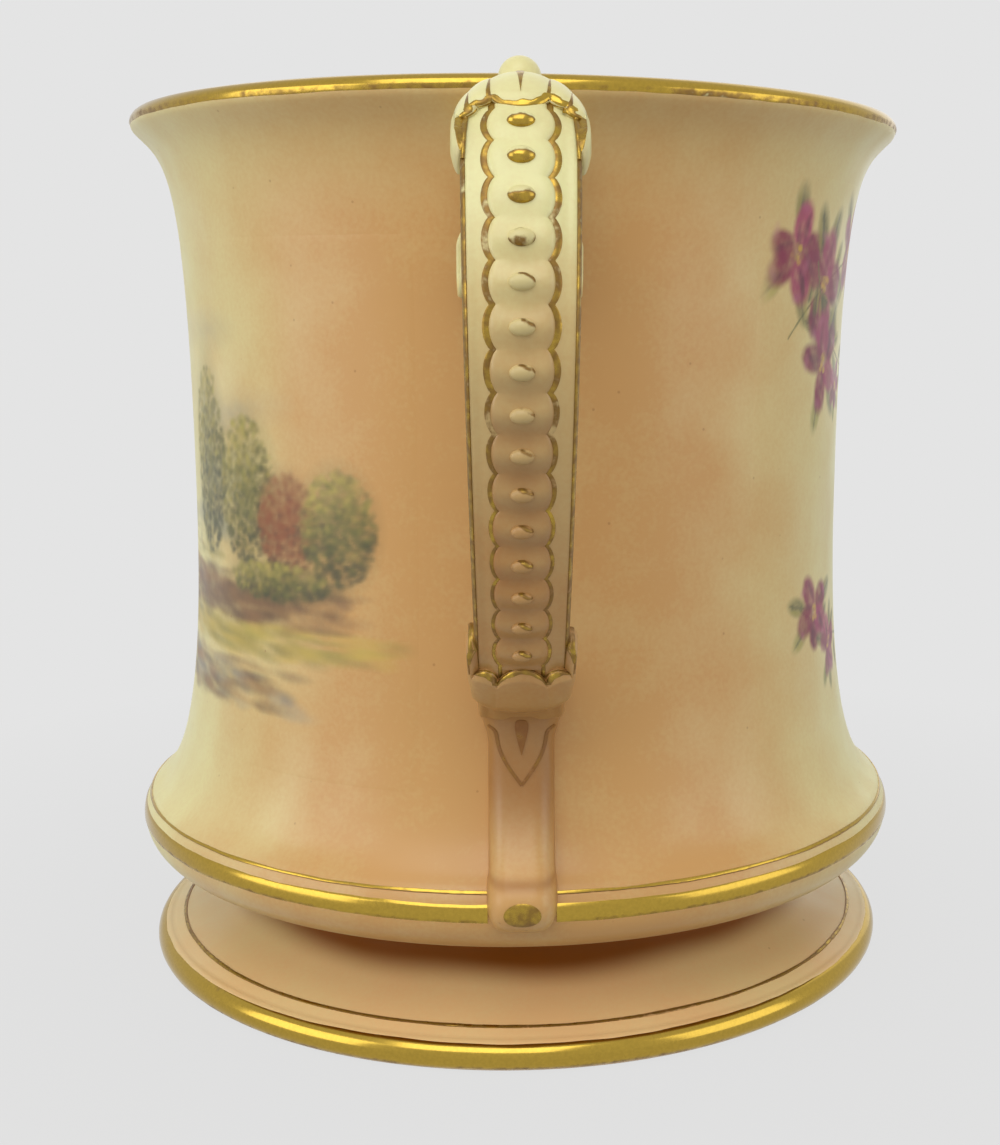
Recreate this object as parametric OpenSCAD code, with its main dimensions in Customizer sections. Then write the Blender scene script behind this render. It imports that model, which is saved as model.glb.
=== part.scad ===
// Two-handled loving cup of ivory porcelain: a waisted bowl on a spreading foot,
// beaded strap handles with leaf cuffs, and gilt lines on every edge.
// Millimetres, +Z up, origin on the table under the centre of the foot.
// The front handle points along -Y and the back handle along +Y.

/* [Bowl] */
// Height of the gilded rim above the table
rim_z = 143.8; // [130:0.1:160]
// Outer radius of the gilded rim
rim_r = 65.1; // [60:0.1:72]
// Angle of the flare at the rim, from upright
rim_flare = 45; // [25:1:55]
// Outer radius at the waist
waist_r = 56.4; // [50:0.1:60]
// Height of the waist
waist_z = 80; // [65:0.5:95]
// Outer radius of the rolled shoulder at its widest
shoulder_r = 67.1; // [63:0.1:74]
// Height of the shoulder's widest line
shoulder_z = 25; // [22:0.1:32]
// Radius of the shoulder's round roll
shoulder_roll = 6.2; // [6:0.1:9]
// Thickness of the cast wall
wall = 3.4; // [2.4:0.1:4.5]

/* [Foot] */
// Outer radius of the gilded foot edge
foot_r = 65.8; // [60:0.1:72]
// Radius of the round foot edge
foot_edge = 2.4; // [1.8:0.1:3.2]
// Radius at which the foot's cove meets its flat border
border_r = 60.7; // [56:0.1:62]
// Height of the foot where the border starts
border_z = 5.8; // [5:0.1:8]
// Outer radius of the neck under the bowl
neck_r = 47; // [42:0.1:52]
// Width of the flat ring that the cup stands on
stand_w = 6; // [4:0.1:7]
// Thickness of the foot's cast wall
foot_wall = 4; // [3:0.1:5]

/* [Gilding] */
// Thickness of the gilding, drawn thick enough to handle
gilt_t = 0.2; // [0.1:0.05:0.4]
// Width of the thin gilt lines round the bowl and foot
line_w = 0.6; // [0.4:0.05:1]
// Width of the gilt band on the shoulder
band_w = 2.7; // [2:0.1:3.4]
// Distance along the roll from the band to the line above it
band_gap = 1.3; // [0.8:0.1:1.6]
// Width of the gilt lines on the handles
trace_w = 0.8; // [0.5:0.05:1.1]

/* [Handle strap] */
// Distance from the rim out to the strap's outermost face
reach = 28.9; // [23:0.1:35]
// Distance from the waist out to the strap's lower end
end_gap = 9.2; // [7:0.1:10]
// Drop from the rim to the strap's outermost point
bow_drop = 31.8; // [26:0.1:36]
// Radius of the strap's upper curve
bow_r = 37.2; // [34:0.1:40]
// Radius of the strap's lower, straighter curve
low_r = 114.3; // [100:0.1:125]
// Radius of the bend at the top of the strap
crook_r = 8; // [7.4:0.1:9]
// Thickness of the strap
strap_t = 6; // [5:0.1:6.8]
// Width of the strap at the top
strap_w_top = 15; // [13.5:0.1:16]
// Width of the strap at the lower end
strap_w_low = 12.4; // [11:0.1:13]

/* [Handle ornament] */
// Number of beads on each handle
bead_count = 15; // [9:1:15]
// Spacing of the beads along the strap
bead_pitch = 5.35; // [5:0.05:5.4]
// Radius of a bead where it sits on the panel
bead_r = 1.75; // [1.2:0.05:2]
// Height of a bead above the panel
bead_h = 1; // [0.6:0.05:1.2]
// Radius of the panel's scallops at the top
lobe_r_top = 4.2; // [3.8:0.05:4.6]
// Radius of the panel's scallops at the lower end
lobe_r_low = 3.6; // [3.2:0.05:4]
// Height of the scalloped panel above the strap
panel_t = 0.8; // [0.4:0.05:1.2]
// Thickness of the leaf cuffs over the strap
cuff_t = 1.3; // [0.8:0.05:1.8]
// Width of the upper cuff
upper_cuff_w = 17.8; // [17:0.1:19]
// Length of the upper cuff along the arm
upper_cuff_len = 4; // [2:0.1:5]
// Width of the lower cuff
lower_cuff_w = 14.8; // [13.6:0.1:15]
// Gap between the knob and the gilded rim
knob_gap = 0.3; // [0.2:0.05:0.6]
// Radius of the knob beside the rim
knob_r = 2.9; // [2.4:0.1:3.4]

/* [Handle ends] */
// Radius of the scroll under the arm
scroll_r = 4; // [3:0.1:5]
// Width of the scroll
scroll_w = 16.4; // [15:0.1:18]
// Drop from the arm to the scroll's centre
scroll_drop = 23.6; // [20:0.1:27]
// Width of the web that joins the scroll to the arm
web_w = 11; // [9:0.1:13]
// Width of the tail on the bowl
tail_w = 9.8; // [8:0.1:11]
// Gap between the tail's sides and the shoulder's gilding
tail_gap = 0.1; // [0.05:0.05:0.3]
// Radius of the toe at the end of the tail
toe_r = 4.4; // [3.8:0.1:5]
// Width of the gilt button on the toe
button_w = 5.4; // [4:0.1:6]

/* [Hidden] */
$fn = 96;
ivory = "#e8dcb2";
blush = "#d8b080";
gilt = "#c79a3c";

function dir(a) = [cos(a), sin(a)];
function arc(c, r, a0, a1, n) = [for (i = [0:n]) c + r * dir(a0 + (a1 - a0) * i / n)];
function bezier(p, n) = [for (i = [0:n]) let (t = i / n, u = 1 - t)
    u * u * u * p[0] + 3 * t * u * u * p[1] + 3 * t * t * u * p[2] + t * t * t * p[3]];
function backwards(line) = [for (i = [len(line) - 1:-1:0]) line[i]];
function tail_of(line) = [for (i = [1:len(line) - 1]) line[i]];
// Points moved sideways by d, to the right of the way the line runs
function beside(line, d) = [for (i = [0:len(line) - 1])
    let (t = line[min(i + 1, len(line) - 1)] - line[max(i - 1, 0)])
    line[i] + d * [t.y, -t.x] / norm(t)];

// Bowl outline from the underside of the roll up to the lip
roll_c = [shoulder_r - shoulder_roll, shoulder_z];
base_z = shoulder_z - shoulder_roll;
function roll_deg(length) = length / shoulder_roll * 180 / PI;
band_a0 = -4.5;
band_a1 = band_a0 + roll_deg(band_w);
line_a0 = band_a1 + roll_deg(band_gap);
line_a1 = line_a0 + roll_deg(line_w);
roll_top = roll_c + shoulder_roll * dir(line_a1 + 10);
lip_r = wall / 2;
lip_start = [rim_r - gilt_t - lip_r * (1 - cos(rim_flare)),
    rim_z - gilt_t - lip_r * (1 + sin(rim_flare))];
lip_c = lip_start - lip_r * dir(-rim_flare);
rise = lip_start.y - waist_z;
fall = waist_z - roll_top.y;
waist = [waist_r, waist_z];
roll_line = concat(arc(roll_c, shoulder_roll, -90, band_a0, 7),
    tail_of(arc(roll_c, shoulder_roll, band_a0, band_a1, 3)),
    [roll_c + shoulder_roll * dir(line_a0), roll_c + shoulder_roll * dir(line_a1), roll_top]);
lower_line = bezier([roll_top, roll_top + 0.15 * fall * dir(146),
    waist - [0, 0.589 * fall], waist], 14);
upper_line = bezier([waist, waist + [0, 0.927 * rise],
    lip_start - 0.111 * rise * dir(90 - rim_flare), lip_start], 24);
bowl_line = concat(roll_line, tail_of(lower_line), tail_of(upper_line));
lip_step = 18;
lip_line = arc(lip_c, lip_r, -rim_flare, 180 - rim_flare, 180 / lip_step);
inside_line = backwards(beside(bowl_line, -wall));
// Outer radius of the bowl at height z
function bowl_at(z) = lookup(z, [for (p = bowl_line) [p.y, p.x]]);

// Foot outline
edge_c = [foot_r - gilt_t - foot_edge, foot_edge];
edge_step = 15;
edge_line = arc(edge_c, foot_edge, 90, -90, 180 / edge_step);
border = [border_r, border_z];
cove_line = bezier([[neck_r, base_z], [neck_r, base_z - 1.5 * foot_wall],
    [neck_r + 1.25 * foot_wall, border_z + foot_edge], border], 12);
border_dir = (edge_line[0] - border) / norm(edge_line[0] - border);
border_up = [-border_dir.y, border_dir.x];
hollow_r = neck_r - foot_wall;
stand_r = edge_c.x - stand_w;
hollow_line = bezier([[stand_r, 0], [stand_r - foot_wall, 0.75 * foot_wall],
    [hollow_r, base_z - 2.25 * foot_wall], [hollow_r, base_z]], 8);

// Strap: a short bend, the bow and a long lower curve, tangent to each other.
// The lower curve leans by sway so that it always ends end_gap off the waist.
crook_a = 45;
low_a = -16.5;
end_a = -43.6;
bow_c = [rim_r + reach - bow_r, rim_z - bow_drop];
crook_c = bow_c + (bow_r - crook_r) * dir(crook_a);
low_c = bow_c - (low_r - bow_r) * dir(low_a);
arm_z = crook_c.y + crook_r;
arm_under = arm_z - strap_t;
arm_start = waist_r - wall;
sway = waist_r + end_gap - low_c.x - low_r * cos(end_a);
function low_at(a, d) = low_c + (low_r + d) * dir(a)
    + [sway * pow((a - low_a) / (end_a - low_a), 2), 0];
function low_line(d) = [for (i = [0:12]) low_at(low_a + (end_a - low_a) * i / 12, d)];
strap_end = low_at(end_a, 0);
strap_end_in = low_at(end_a, -strap_t);
bow_len = bow_r * (crook_a - low_a) * PI / 180;
first_bead = 0.785 * bead_pitch;
// Length that passes everything on the cup
far = 2 * (rim_r + reach);

// The strap's outer face from the cup to the lower end, moved out by d
function strap_line(d) = concat([[arm_start, arm_z + d]],
    arc(crook_c, crook_r + d, 90, crook_a, 6),
    tail_of(arc(bow_c, bow_r + d, crook_a, low_a, 20)),
    tail_of(low_line(d)));
// The same face without the arm
function bow_line(d) = concat(arc(bow_c, bow_r + d, crook_a, low_a, 20),
    tail_of(low_line(d)));

// Point at distance s below the bend, moved out by d
function strap_at(s, d) = s < bow_len
    ? bow_c + (bow_r + d) * dir(crook_a - s / bow_r * 180 / PI)
    : low_at(low_a - (s - bow_len) / low_r * 180 / PI, d);
function bead_at(i, d) = strap_at(first_bead + i * bead_pitch, d);
function lobe_r(i) = lobe_r_top + (lobe_r_low - lobe_r_top) * i / (bead_count - 1);

// Leaf lobes of the cuffs in front view: distance off the middle, height, radius,
// as shares of the cuff's width w above height z
function mirrored(list) = [for (l = list) [-l[0], l[1], l[2]]];
function leaf(w, z, shares) = [w * shares[0], z + w * shares[1], w * shares[2]];
upper_side = [leaf(upper_cuff_w, arm_z, [0.258, -0.06, 0.09]),
    leaf(upper_cuff_w, arm_z, [0.365, -0.171, 0.086]),
    leaf(upper_cuff_w, arm_z, [0.461, -0.463, 0.135])];
upper_lobes = concat([leaf(upper_cuff_w, arm_z, [0, 0.022, 0.202])],
    upper_side, mirrored(upper_side));
lower_side = [leaf(lower_cuff_w, strap_end.y, [0.42, 0.243, 0.16]),
    leaf(lower_cuff_w, strap_end.y, [0.455, 0.49, 0.11]),
    leaf(lower_cuff_w, strap_end.y, [0.465, 0.68, 0.1])];
lower_lobes = concat([leaf(lower_cuff_w, strap_end.y, [0, 0.129, 0.365])],
    lower_side, mirrored(lower_side));

// Tail down the bowl to the toe on the shoulder
toe_c = [shoulder_r + toe_r / 9, shoulder_z + 0.68 * toe_r];
toe_step = 12;
tail_line = bezier([strap_end, strap_end + 0.61 * end_gap * dir(end_a - 90),
    [waist_r + 0.63 * end_gap, toe_c.y + 2.39 * toe_r], toe_c + toe_r * dir(6 * toe_step)], 16);
toe_line = arc(toe_c, toe_r, 5 * toe_step, -12 * toe_step, 17);
leaf_w = 0.408 * tail_w;
leaf_top = strap_end.y - 0.72 * leaf_w;
leaf_tip = strap_end.y - 2.58 * leaf_w;
drop_r = 0.225 * leaf_w;
// One side of the leaf in front view, from its top to its tip, w off the middle at the top
function leaf_side(w, tip) = bezier([[w, leaf_top], [w, 0.6 * leaf_top + 0.4 * leaf_tip],
    [0.4 * w, 0.75 * tip + 0.25 * leaf_top], [0, tip]], 8);
leaf_outer = leaf_side(leaf_w, leaf_tip);
leaf_inner = leaf_side(leaf_w - trace_w, leaf_tip + 1.3 * trace_w);
function across(line) = [for (p = line) [-p.x, p.y]];

// Places a side view of the handle: x is the distance from the cup's axis, y the height
module side() rotate([90, 0, -90]) children();
// Pushes a front view, drawn in x and height, out along -Y
module front_view() rotate([90, 0, 0]) linear_extrude(height = far) children();
module opposite() rotate([0, 0, 180]) children();

// Everything inside the bowl's outer face
module bowl_solid() rotate_extrude()
    polygon(concat([[0, base_z]], bowl_line, tail_of(lip_line), [[0, lip_c.y]]));

// A layer over the strap's face between two heights, w wide
module strap_layer(line_in, line_out, w) side() linear_extrude(height = w, center = true)
    polygon(concat(line_out, backwards(line_in)));

// Front view with a round top, almost reaching its full radius at the height given
module arch(w, top) {
    translate([0, top - 0.48 * w]) circle(d = w);
    translate([-w, 0]) square([2 * w, top - 0.48 * w]);
}

// Prism that narrows the strap towards its lower end and rounds its top
module taper(grow = 0) front_view() intersection() {
    polygon([[-strap_w_low / 2 - grow, strap_end.y], [strap_w_low / 2 + grow, strap_end.y],
        [strap_w_top / 2 + grow, rim_z], [-strap_w_top / 2 - grow, rim_z]]);
    arch(strap_w_top + 2 * grow, arm_z + grow);
}

module handle_strap() color(ivory) difference() {
    intersection() {
        strap_layer(strap_line(-strap_t), strap_line(0), 2 * strap_w_top);
        taper();
    }
    bowl_solid();
}

// Room for the strap inside a cuff
module strap_room() intersection() {
    strap_layer(strap_line(-1.2 * strap_t), strap_line(0), 2 * strap_w_top);
    taper();
}

// Front views of the panel and the cuffs
module scallops(grow) for (i = [0:bead_count - 1])
    translate([0, bead_at(i, 0).y]) circle(r = lobe_r(i) + grow);

module upper_leaves(grow) {
    for (l = upper_lobes) translate([l[0], l[1]]) circle(r = l[2] + grow);
    polygon(concat([[-upper_cuff_w, far]],
        [for (i = [6:-1:4]) [upper_lobes[i][0], upper_lobes[i][1]]],
        [for (i = [0:3]) [upper_lobes[i][0], upper_lobes[i][1]]], [[upper_cuff_w, far]]));
}

module lower_leaves(grow) {
    for (l = lower_lobes) translate([l[0], l[1]]) circle(r = l[2] + grow);
    translate([-lower_side[0][0], strap_end.y - cuff_t])
        square([2 * lower_side[0][0], lower_side[0][1] - strap_end.y + cuff_t]);
}

module scalloped_panel() color(ivory) intersection() {
    strap_layer(bow_line(0), bow_line(panel_t), 3 * lobe_r_top);
    front_view() difference() {
        scallops(0);
        upper_leaves(0);
        lower_leaves(0);
    }
}

module panel_gilding() color(gilt) intersection() {
    strap_layer(bow_line(0), bow_line(gilt_t), 3 * (lobe_r_top + trace_w));
    front_view() difference() {
        scallops(trace_w);
        scallops(0);
        upper_leaves(0);
        lower_leaves(0);
    }
}

// Beads are caps of a ball, seated on the panel
module beads() color(gilt) let (ball_r = (bead_r * bead_r + bead_h * bead_h) / (2 * bead_h))
    difference() {
        for (i = [0:bead_count - 1])
            side() translate(bead_at(i, panel_t + bead_h - ball_r)) sphere(r = ball_r, $fn = 32);
        strap_layer(bow_line(-strap_t), bow_line(panel_t), 3 * lobe_r_top);
    }

module edge_gilding() color(gilt) intersection() {
    strap_layer(bow_line(-strap_t / 3), bow_line(0), 2 * strap_w_top);
    difference() {
        taper(gilt_t);
        taper();
    }
    front_view() difference() {
        translate([-strap_w_top, lower_side[0][1]])
            square([2 * strap_w_top, upper_side[2][1] - lower_side[0][1]]);
        upper_leaves(0.1);
        lower_leaves(0.1);
    }
}

module upper_cuff() color(ivory) difference() {
    intersection() {
        strap_layer(strap_line(-strap_t), strap_line(cuff_t), upper_cuff_w);
        front_view() upper_leaves(0);
        front_view() arch(1.01 * upper_cuff_w, arm_z + cuff_t);
        side() translate([crook_c.x - upper_cuff_len, 0, -upper_cuff_w])
            cube([far, far, 2 * upper_cuff_w]);
    }
    strap_room();
}

module lower_cuff() color(ivory) difference() {
    intersection() {
        strap_layer(bow_line(-strap_t), bow_line(cuff_t), lower_cuff_w);
        front_view() lower_leaves(0);
    }
    strap_room();
    bowl_solid();
}

module cuff_gilding() color(gilt) {
    intersection() {
        strap_layer(bow_line(cuff_t), bow_line(cuff_t + gilt_t), upper_cuff_w);
        front_view() arch(1.01 * upper_cuff_w, arm_z + cuff_t);
        front_view() difference() {
            upper_leaves(0);
            upper_leaves(-trace_w);
        }
    }
    intersection() {
        strap_layer(bow_line(cuff_t), bow_line(cuff_t + gilt_t), lower_cuff_w);
        front_view() difference() {
            lower_leaves(0);
            lower_leaves(-trace_w);
            translate([-strap_w_top, 0]) square([2 * strap_w_top, lower_side[0][1]]);
        }
    }
}

// A ball that stands on the arm beside the rim
module rim_knob() color(ivory) difference() {
    translate([0, -rim_r - knob_r - knob_gap, arm_z]) rotate_extrude() intersection() {
        translate([0, 0.6 * knob_r]) circle(r = knob_r);
        translate([0, -knob_r / 4]) square([knob_r, 2 * knob_r]);
    }
    strap_room();
}

module scroll() color(blush) let (scroll_z = arm_z - scroll_drop, bend_z = arm_under - scroll_r)
    difference() {
        union() {
            side() translate([bowl_at(scroll_z) + 1.14 * scroll_r, scroll_z])
                cylinder(r = scroll_r, h = scroll_w, center = true);
            side() linear_extrude(height = web_w, center = true) polygon([[arm_start, scroll_z],
                [bowl_at(scroll_z) + 0.92 * scroll_r, scroll_z],
                [bowl_at(bend_z) + 0.65 * scroll_r, bend_z],
                [bowl_at(arm_under) + 1.37 * scroll_r, arm_under], [arm_start, arm_under]]);
        }
        bowl_solid();
    }

module handle_tail() color(blush) difference() {
    intersection() {
        side() linear_extrude(height = tail_w, center = true)
            polygon(concat(tail_line, toe_line, [[arm_start, toe_c.y],
                [arm_start, strap_end_in.y], strap_end_in]));
        front_view() {
            translate([0, toe_c.y - toe_r + tail_w / 2]) circle(d = tail_w);
            translate([-tail_w / 2, toe_c.y - toe_r + tail_w / 2]) square([tail_w, far]);
            polygon([[-tail_w / 2, strap_end.y - 0.7 * tail_w], [tail_w / 2, strap_end.y - 0.7 * tail_w],
                [strap_w_low / 2, strap_end.y], [strap_w_low / 2, waist_z],
                [-strap_w_low / 2, waist_z], [-strap_w_low / 2, strap_end.y]]);
        }
    }
    bowl_solid();
}

module tail_gilding() color(gilt) {
    intersection() {
        side() linear_extrude(height = tail_w, center = true)
            polygon(concat(tail_line, backwards(beside(tail_line, -gilt_t))));
        front_view() {
            polygon(concat(leaf_outer, backwards(across(leaf_outer)),
                across(leaf_inner), backwards(leaf_inner)));
            translate([0, leaf_top + 0.9 * drop_r]) circle(r = drop_r);
            polygon([[-0.95 * drop_r, leaf_top + 0.6 * drop_r], [0.95 * drop_r, leaf_top + 0.6 * drop_r],
                [0, leaf_top - 3.9 * drop_r]]);
        }
    }
    intersection() {
        side() linear_extrude(height = tail_w, center = true) polygon(concat(
            arc(toe_c, toe_r, toe_step, -3 * toe_step, 4),
            arc(toe_c, toe_r + gilt_t, -3 * toe_step, toe_step, 4)));
        front_view() translate(toe_c - [toe_c.x, 0.2 * toe_r]) circle(d = button_w);
    }
}

module cup_body() color(ivory) rotate_extrude() polygon(concat([[0, base_z]], bowl_line,
    tail_of(lip_line), tail_of(inside_line), [[0, base_z + wall]]));

module foot() color(blush) rotate_extrude()
    polygon(concat(cove_line, edge_line, hollow_line));

// A layer of gilding on a round edge, between two angles
module gilt_ring(c, r, a0, a1, n) color(gilt) rotate_extrude()
    polygon(concat(arc(c, r, a0, a1, n), arc(c, r + gilt_t, a1, a0, n)));

// Room for the tails where they cross the shoulder's gilding
module tail_room() translate([-tail_w / 2 - tail_gap, -far, 0])
    cube([tail_w + 2 * tail_gap, 2 * far, waist_z]);

module rim_gilding() gilt_ring(lip_c, lip_r, lip_step - rim_flare, 180 - rim_flare, 180 / lip_step - 1);

module shoulder_gilt_line() difference() {
    gilt_ring(roll_c, shoulder_roll, line_a0, line_a1, 1);
    tail_room();
}

module shoulder_gilt_band() difference() {
    gilt_ring(roll_c, shoulder_roll, band_a0, band_a1, 3);
    tail_room();
}

module foot_gilt_line() color(gilt) rotate_extrude() polygon([border, border + line_w * border_dir,
    border + line_w * border_dir + gilt_t * border_up, border + gilt_t * border_up]);

module foot_gilt_band() gilt_ring(edge_c, foot_edge, 90 - edge_step, 3 * edge_step - 90, 8);

module front_handle_strap() handle_strap();
module front_scalloped_panel() scalloped_panel();
module front_beads() beads();
module front_panel_gilding() panel_gilding();
module front_edge_gilding() edge_gilding();
module front_upper_cuff() upper_cuff();
module front_lower_cuff() lower_cuff();
module front_cuff_gilding() cuff_gilding();
module front_rim_knob() rim_knob();
module front_scroll() scroll();
module front_tail() handle_tail();
module front_tail_gilding() tail_gilding();

module back_handle_strap() opposite() handle_strap();
module back_scalloped_panel() opposite() scalloped_panel();
module back_beads() opposite() beads();
module back_panel_gilding() opposite() panel_gilding();
module back_edge_gilding() opposite() edge_gilding();
module back_upper_cuff() opposite() upper_cuff();
module back_lower_cuff() opposite() lower_cuff();
module back_cuff_gilding() opposite() cuff_gilding();
module back_rim_knob() opposite() rim_knob();
module back_scroll() opposite() scroll();
module back_tail() opposite() handle_tail();
module back_tail_gilding() opposite() tail_gilding();

cup_body();
foot();
rim_gilding();
shoulder_gilt_line();
shoulder_gilt_band();
foot_gilt_line();
foot_gilt_band();
front_handle_strap();
front_scalloped_panel();
front_beads();
front_panel_gilding();
front_edge_gilding();
front_upper_cuff();
front_lower_cuff();
front_cuff_gilding();
front_rim_knob();
front_scroll();
front_tail();
front_tail_gilding();
back_handle_strap();
back_scalloped_panel();
back_beads();
back_panel_gilding();
back_edge_gilding();
back_upper_cuff();
back_lower_cuff();
back_cuff_gilding();
back_rim_knob();
back_scroll();
back_tail();
back_tail_gilding();
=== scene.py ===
"""Looks of a two-handled porcelain loving cup, laid out as an add-on and run as a script.

Every piece is a surface worked out from the cup's own sizes, in metres, in the frame of the
solid model: the foot stands on z = 0, the axis is Z and the front handle points along -Y.
"""

import bmesh
import bpy
import numpy as np
from mathutils import Matrix, Vector


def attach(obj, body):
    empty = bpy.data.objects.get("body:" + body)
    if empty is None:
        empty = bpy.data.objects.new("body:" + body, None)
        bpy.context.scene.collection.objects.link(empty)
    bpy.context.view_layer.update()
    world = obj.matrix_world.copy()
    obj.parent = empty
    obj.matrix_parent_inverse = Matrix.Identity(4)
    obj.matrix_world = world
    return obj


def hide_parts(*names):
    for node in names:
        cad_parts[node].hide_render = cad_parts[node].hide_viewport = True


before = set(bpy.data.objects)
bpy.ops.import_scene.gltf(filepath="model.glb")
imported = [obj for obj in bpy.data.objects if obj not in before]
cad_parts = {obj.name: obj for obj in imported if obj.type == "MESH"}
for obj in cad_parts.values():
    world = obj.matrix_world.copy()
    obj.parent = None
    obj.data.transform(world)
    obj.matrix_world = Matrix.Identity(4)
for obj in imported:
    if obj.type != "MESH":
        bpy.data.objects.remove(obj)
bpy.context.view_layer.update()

MM = 0.001

bl_info = {
    "name": "Loving Cup",
    "version": (1, 0, 0),
    "blender": (4, 5, 0),
    "location": "3D View > Sidebar > Cup",
    "description": "Builds a two-handled loving cup of painted and gilded porcelain",
    "category": "Object",
}


def linear(code):
    """Linear colour of an sRGB hex code."""
    srgb = np.array([int(code[i:i + 2], 16) for i in (1, 3, 5)]) / 255
    return tuple(np.where(srgb <= 0.04045, srgb / 12.92, ((srgb + 0.055) / 1.055) ** 2.4))


def length(name, text, millimetres):
    """A length that a user may change, given in millimetres and kept in metres."""
    return bpy.props.FloatProperty(
        name=name, description=text, default=millimetres * MM, precision=5, unit="LENGTH")


def colour(name, text, code):
    """A colour that a user may change, given as sRGB hex."""
    return bpy.props.FloatVectorProperty(
        name=name, description=text, default=linear(code), size=3, min=0, max=1, subtype="COLOR")


class CupSizes(bpy.types.PropertyGroup):
    rim_height: length("Rim height", "Height of the gilded rim", 143.8)
    rim_radius: length("Rim radius", "Outer radius of the gilded rim", 65.1)
    waist_radius: length("Waist radius", "Outer radius at the waist", 56.4)
    waist_height: length("Waist height", "Height of the waist", 80)
    shoulder_radius: length("Shoulder radius", "Outer radius of the rolled shoulder", 67.1)
    shoulder_height: length("Shoulder height", "Height of the shoulder's widest line", 25)
    shoulder_roll: length("Shoulder roll", "Radius of the shoulder's roll", 6.2)
    wall: length("Wall", "Thickness of the bowl's wall", 3.4)
    foot_radius: length("Foot radius", "Outer radius of the gilded foot edge", 65.8)
    foot_edge: length("Foot edge", "Radius of the round foot edge", 2.4)
    border_radius: length("Border radius", "Radius where the foot's cove meets its border", 60.7)
    border_height: length("Border height", "Height of the foot where the border starts", 5.8)
    neck_radius: length("Neck radius", "Outer radius of the neck under the bowl", 47)
    stand_width: length("Stand width", "Width of the ring that the cup stands on", 6)
    foot_wall: length("Foot wall", "Thickness of the foot's wall", 4)
    gilt: length("Gilding", "Thickness of the gilding", 0.2)
    line_width: length("Line width", "Width of the thin gilt lines", 0.6)
    band_width: length("Band width", "Width of the shoulder's gilt band", 2.7)
    band_gap: length("Band gap", "Distance from the band to the line above it", 1.3)


class HandleSizes(bpy.types.PropertyGroup):
    reach: length("Reach", "Distance from the rim out to the strap's face", 28.9)
    bow_drop: length("Bow drop", "Drop from the rim to the outermost point", 31.8)
    bow_radius: length("Bow radius", "Radius of the strap's upper curve", 37.2)
    low_radius: length("Lower radius", "Radius of the strap's lower curve", 114.3)
    crook_radius: length("Crook radius", "Radius of the bend at the top", 8)
    thickness: length("Thickness", "Thickness of the strap", 6)
    top_width: length("Top width", "Width of the strap at the top", 15)
    low_width: length("Lower width", "Width of the strap at the lower end", 12.4)
    dish: length("Dish", "Depth of the hollow beside the strap's edges", 0.25)
    pitch: length("Bead pitch", "Spacing of the beads", 5.35)
    bead: length("Bead", "Half the width of a bead", 1.75)
    bead_height: length("Bead height", "Height of a bead above the panel", 1)
    lobe_top: length("Upper lobe", "Half the panel's width at its upper scallops", 4.2)
    lobe_low: length("Lower lobe", "Half the panel's width at its lower scallops", 3.65)
    panel: length("Panel", "Height of the panel above the strap", 0.8)
    trace: length("Trace", "Width of the gilt lines on the handles", 0.9)
    cuff: length("Cuff", "Thickness of the leaf cuffs", 1.3)
    arch: length("Arch", "Half the span of the round top of the strap and cuff", 9.4)
    knob: length("Knob", "Radius of the knob beside the rim", 2.9)
    knob_gap: length("Knob gap", "Gap between the knob and the rim", 0.3)
    scroll: length("Scroll", "Radius of the scroll under the arm", 4)
    scroll_width: length("Scroll width", "Width of the scroll", 17.8)
    scroll_drop: length("Scroll drop", "Drop from the arm to the scroll's centre", 23.6)
    web_width: length("Web width", "Width of the web above the scroll", 11)
    tail_width: length("Tail width", "Width of the tail on the bowl", 9.8)
    toe: length("Toe", "Radius of the toe at the end of the tail", 4.4)
    button: length("Button", "Width of the gilt button on the toe", 5.4)


class CupColours(bpy.types.PropertyGroup):
    ivory: colour("Ivory", "Bare porcelain under the glaze", "#e7e1a2")
    apricot: colour("Apricot", "Ground colour blown over the ivory", "#ce9d5c")
    gold: colour("Gold", "Burnished gilding", "#b7983f")
    # Also the painted dark reflection along the gilt bands' lower edges
    worn: colour("Worn", "Brown edge where gilding has rubbed thin", "#7c5a26")
    # Brown of grime and specks, also used as painted shade in hollows, creases and recesses
    grime_and_shade_brown: colour("Grime", "Brown of worn handles, hollows and specks", "#8d5112")
    backdrop: colour("Backdrop", "Pale paper behind and under the cup", "#e4e4e4")
    shade: colour("Shade", "Tone with which the paper throws light back", "#adadac")
    # Painted light: the apricot ground made lighter for the foot, standing in for light the foot gets
    # too little of
    blush: colour("Blush", "Ground blown over the foot", "#ecc084")
    tan: colour("Tan", "Lower handles where gilding is rubbed through", "#b88d54")


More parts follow.
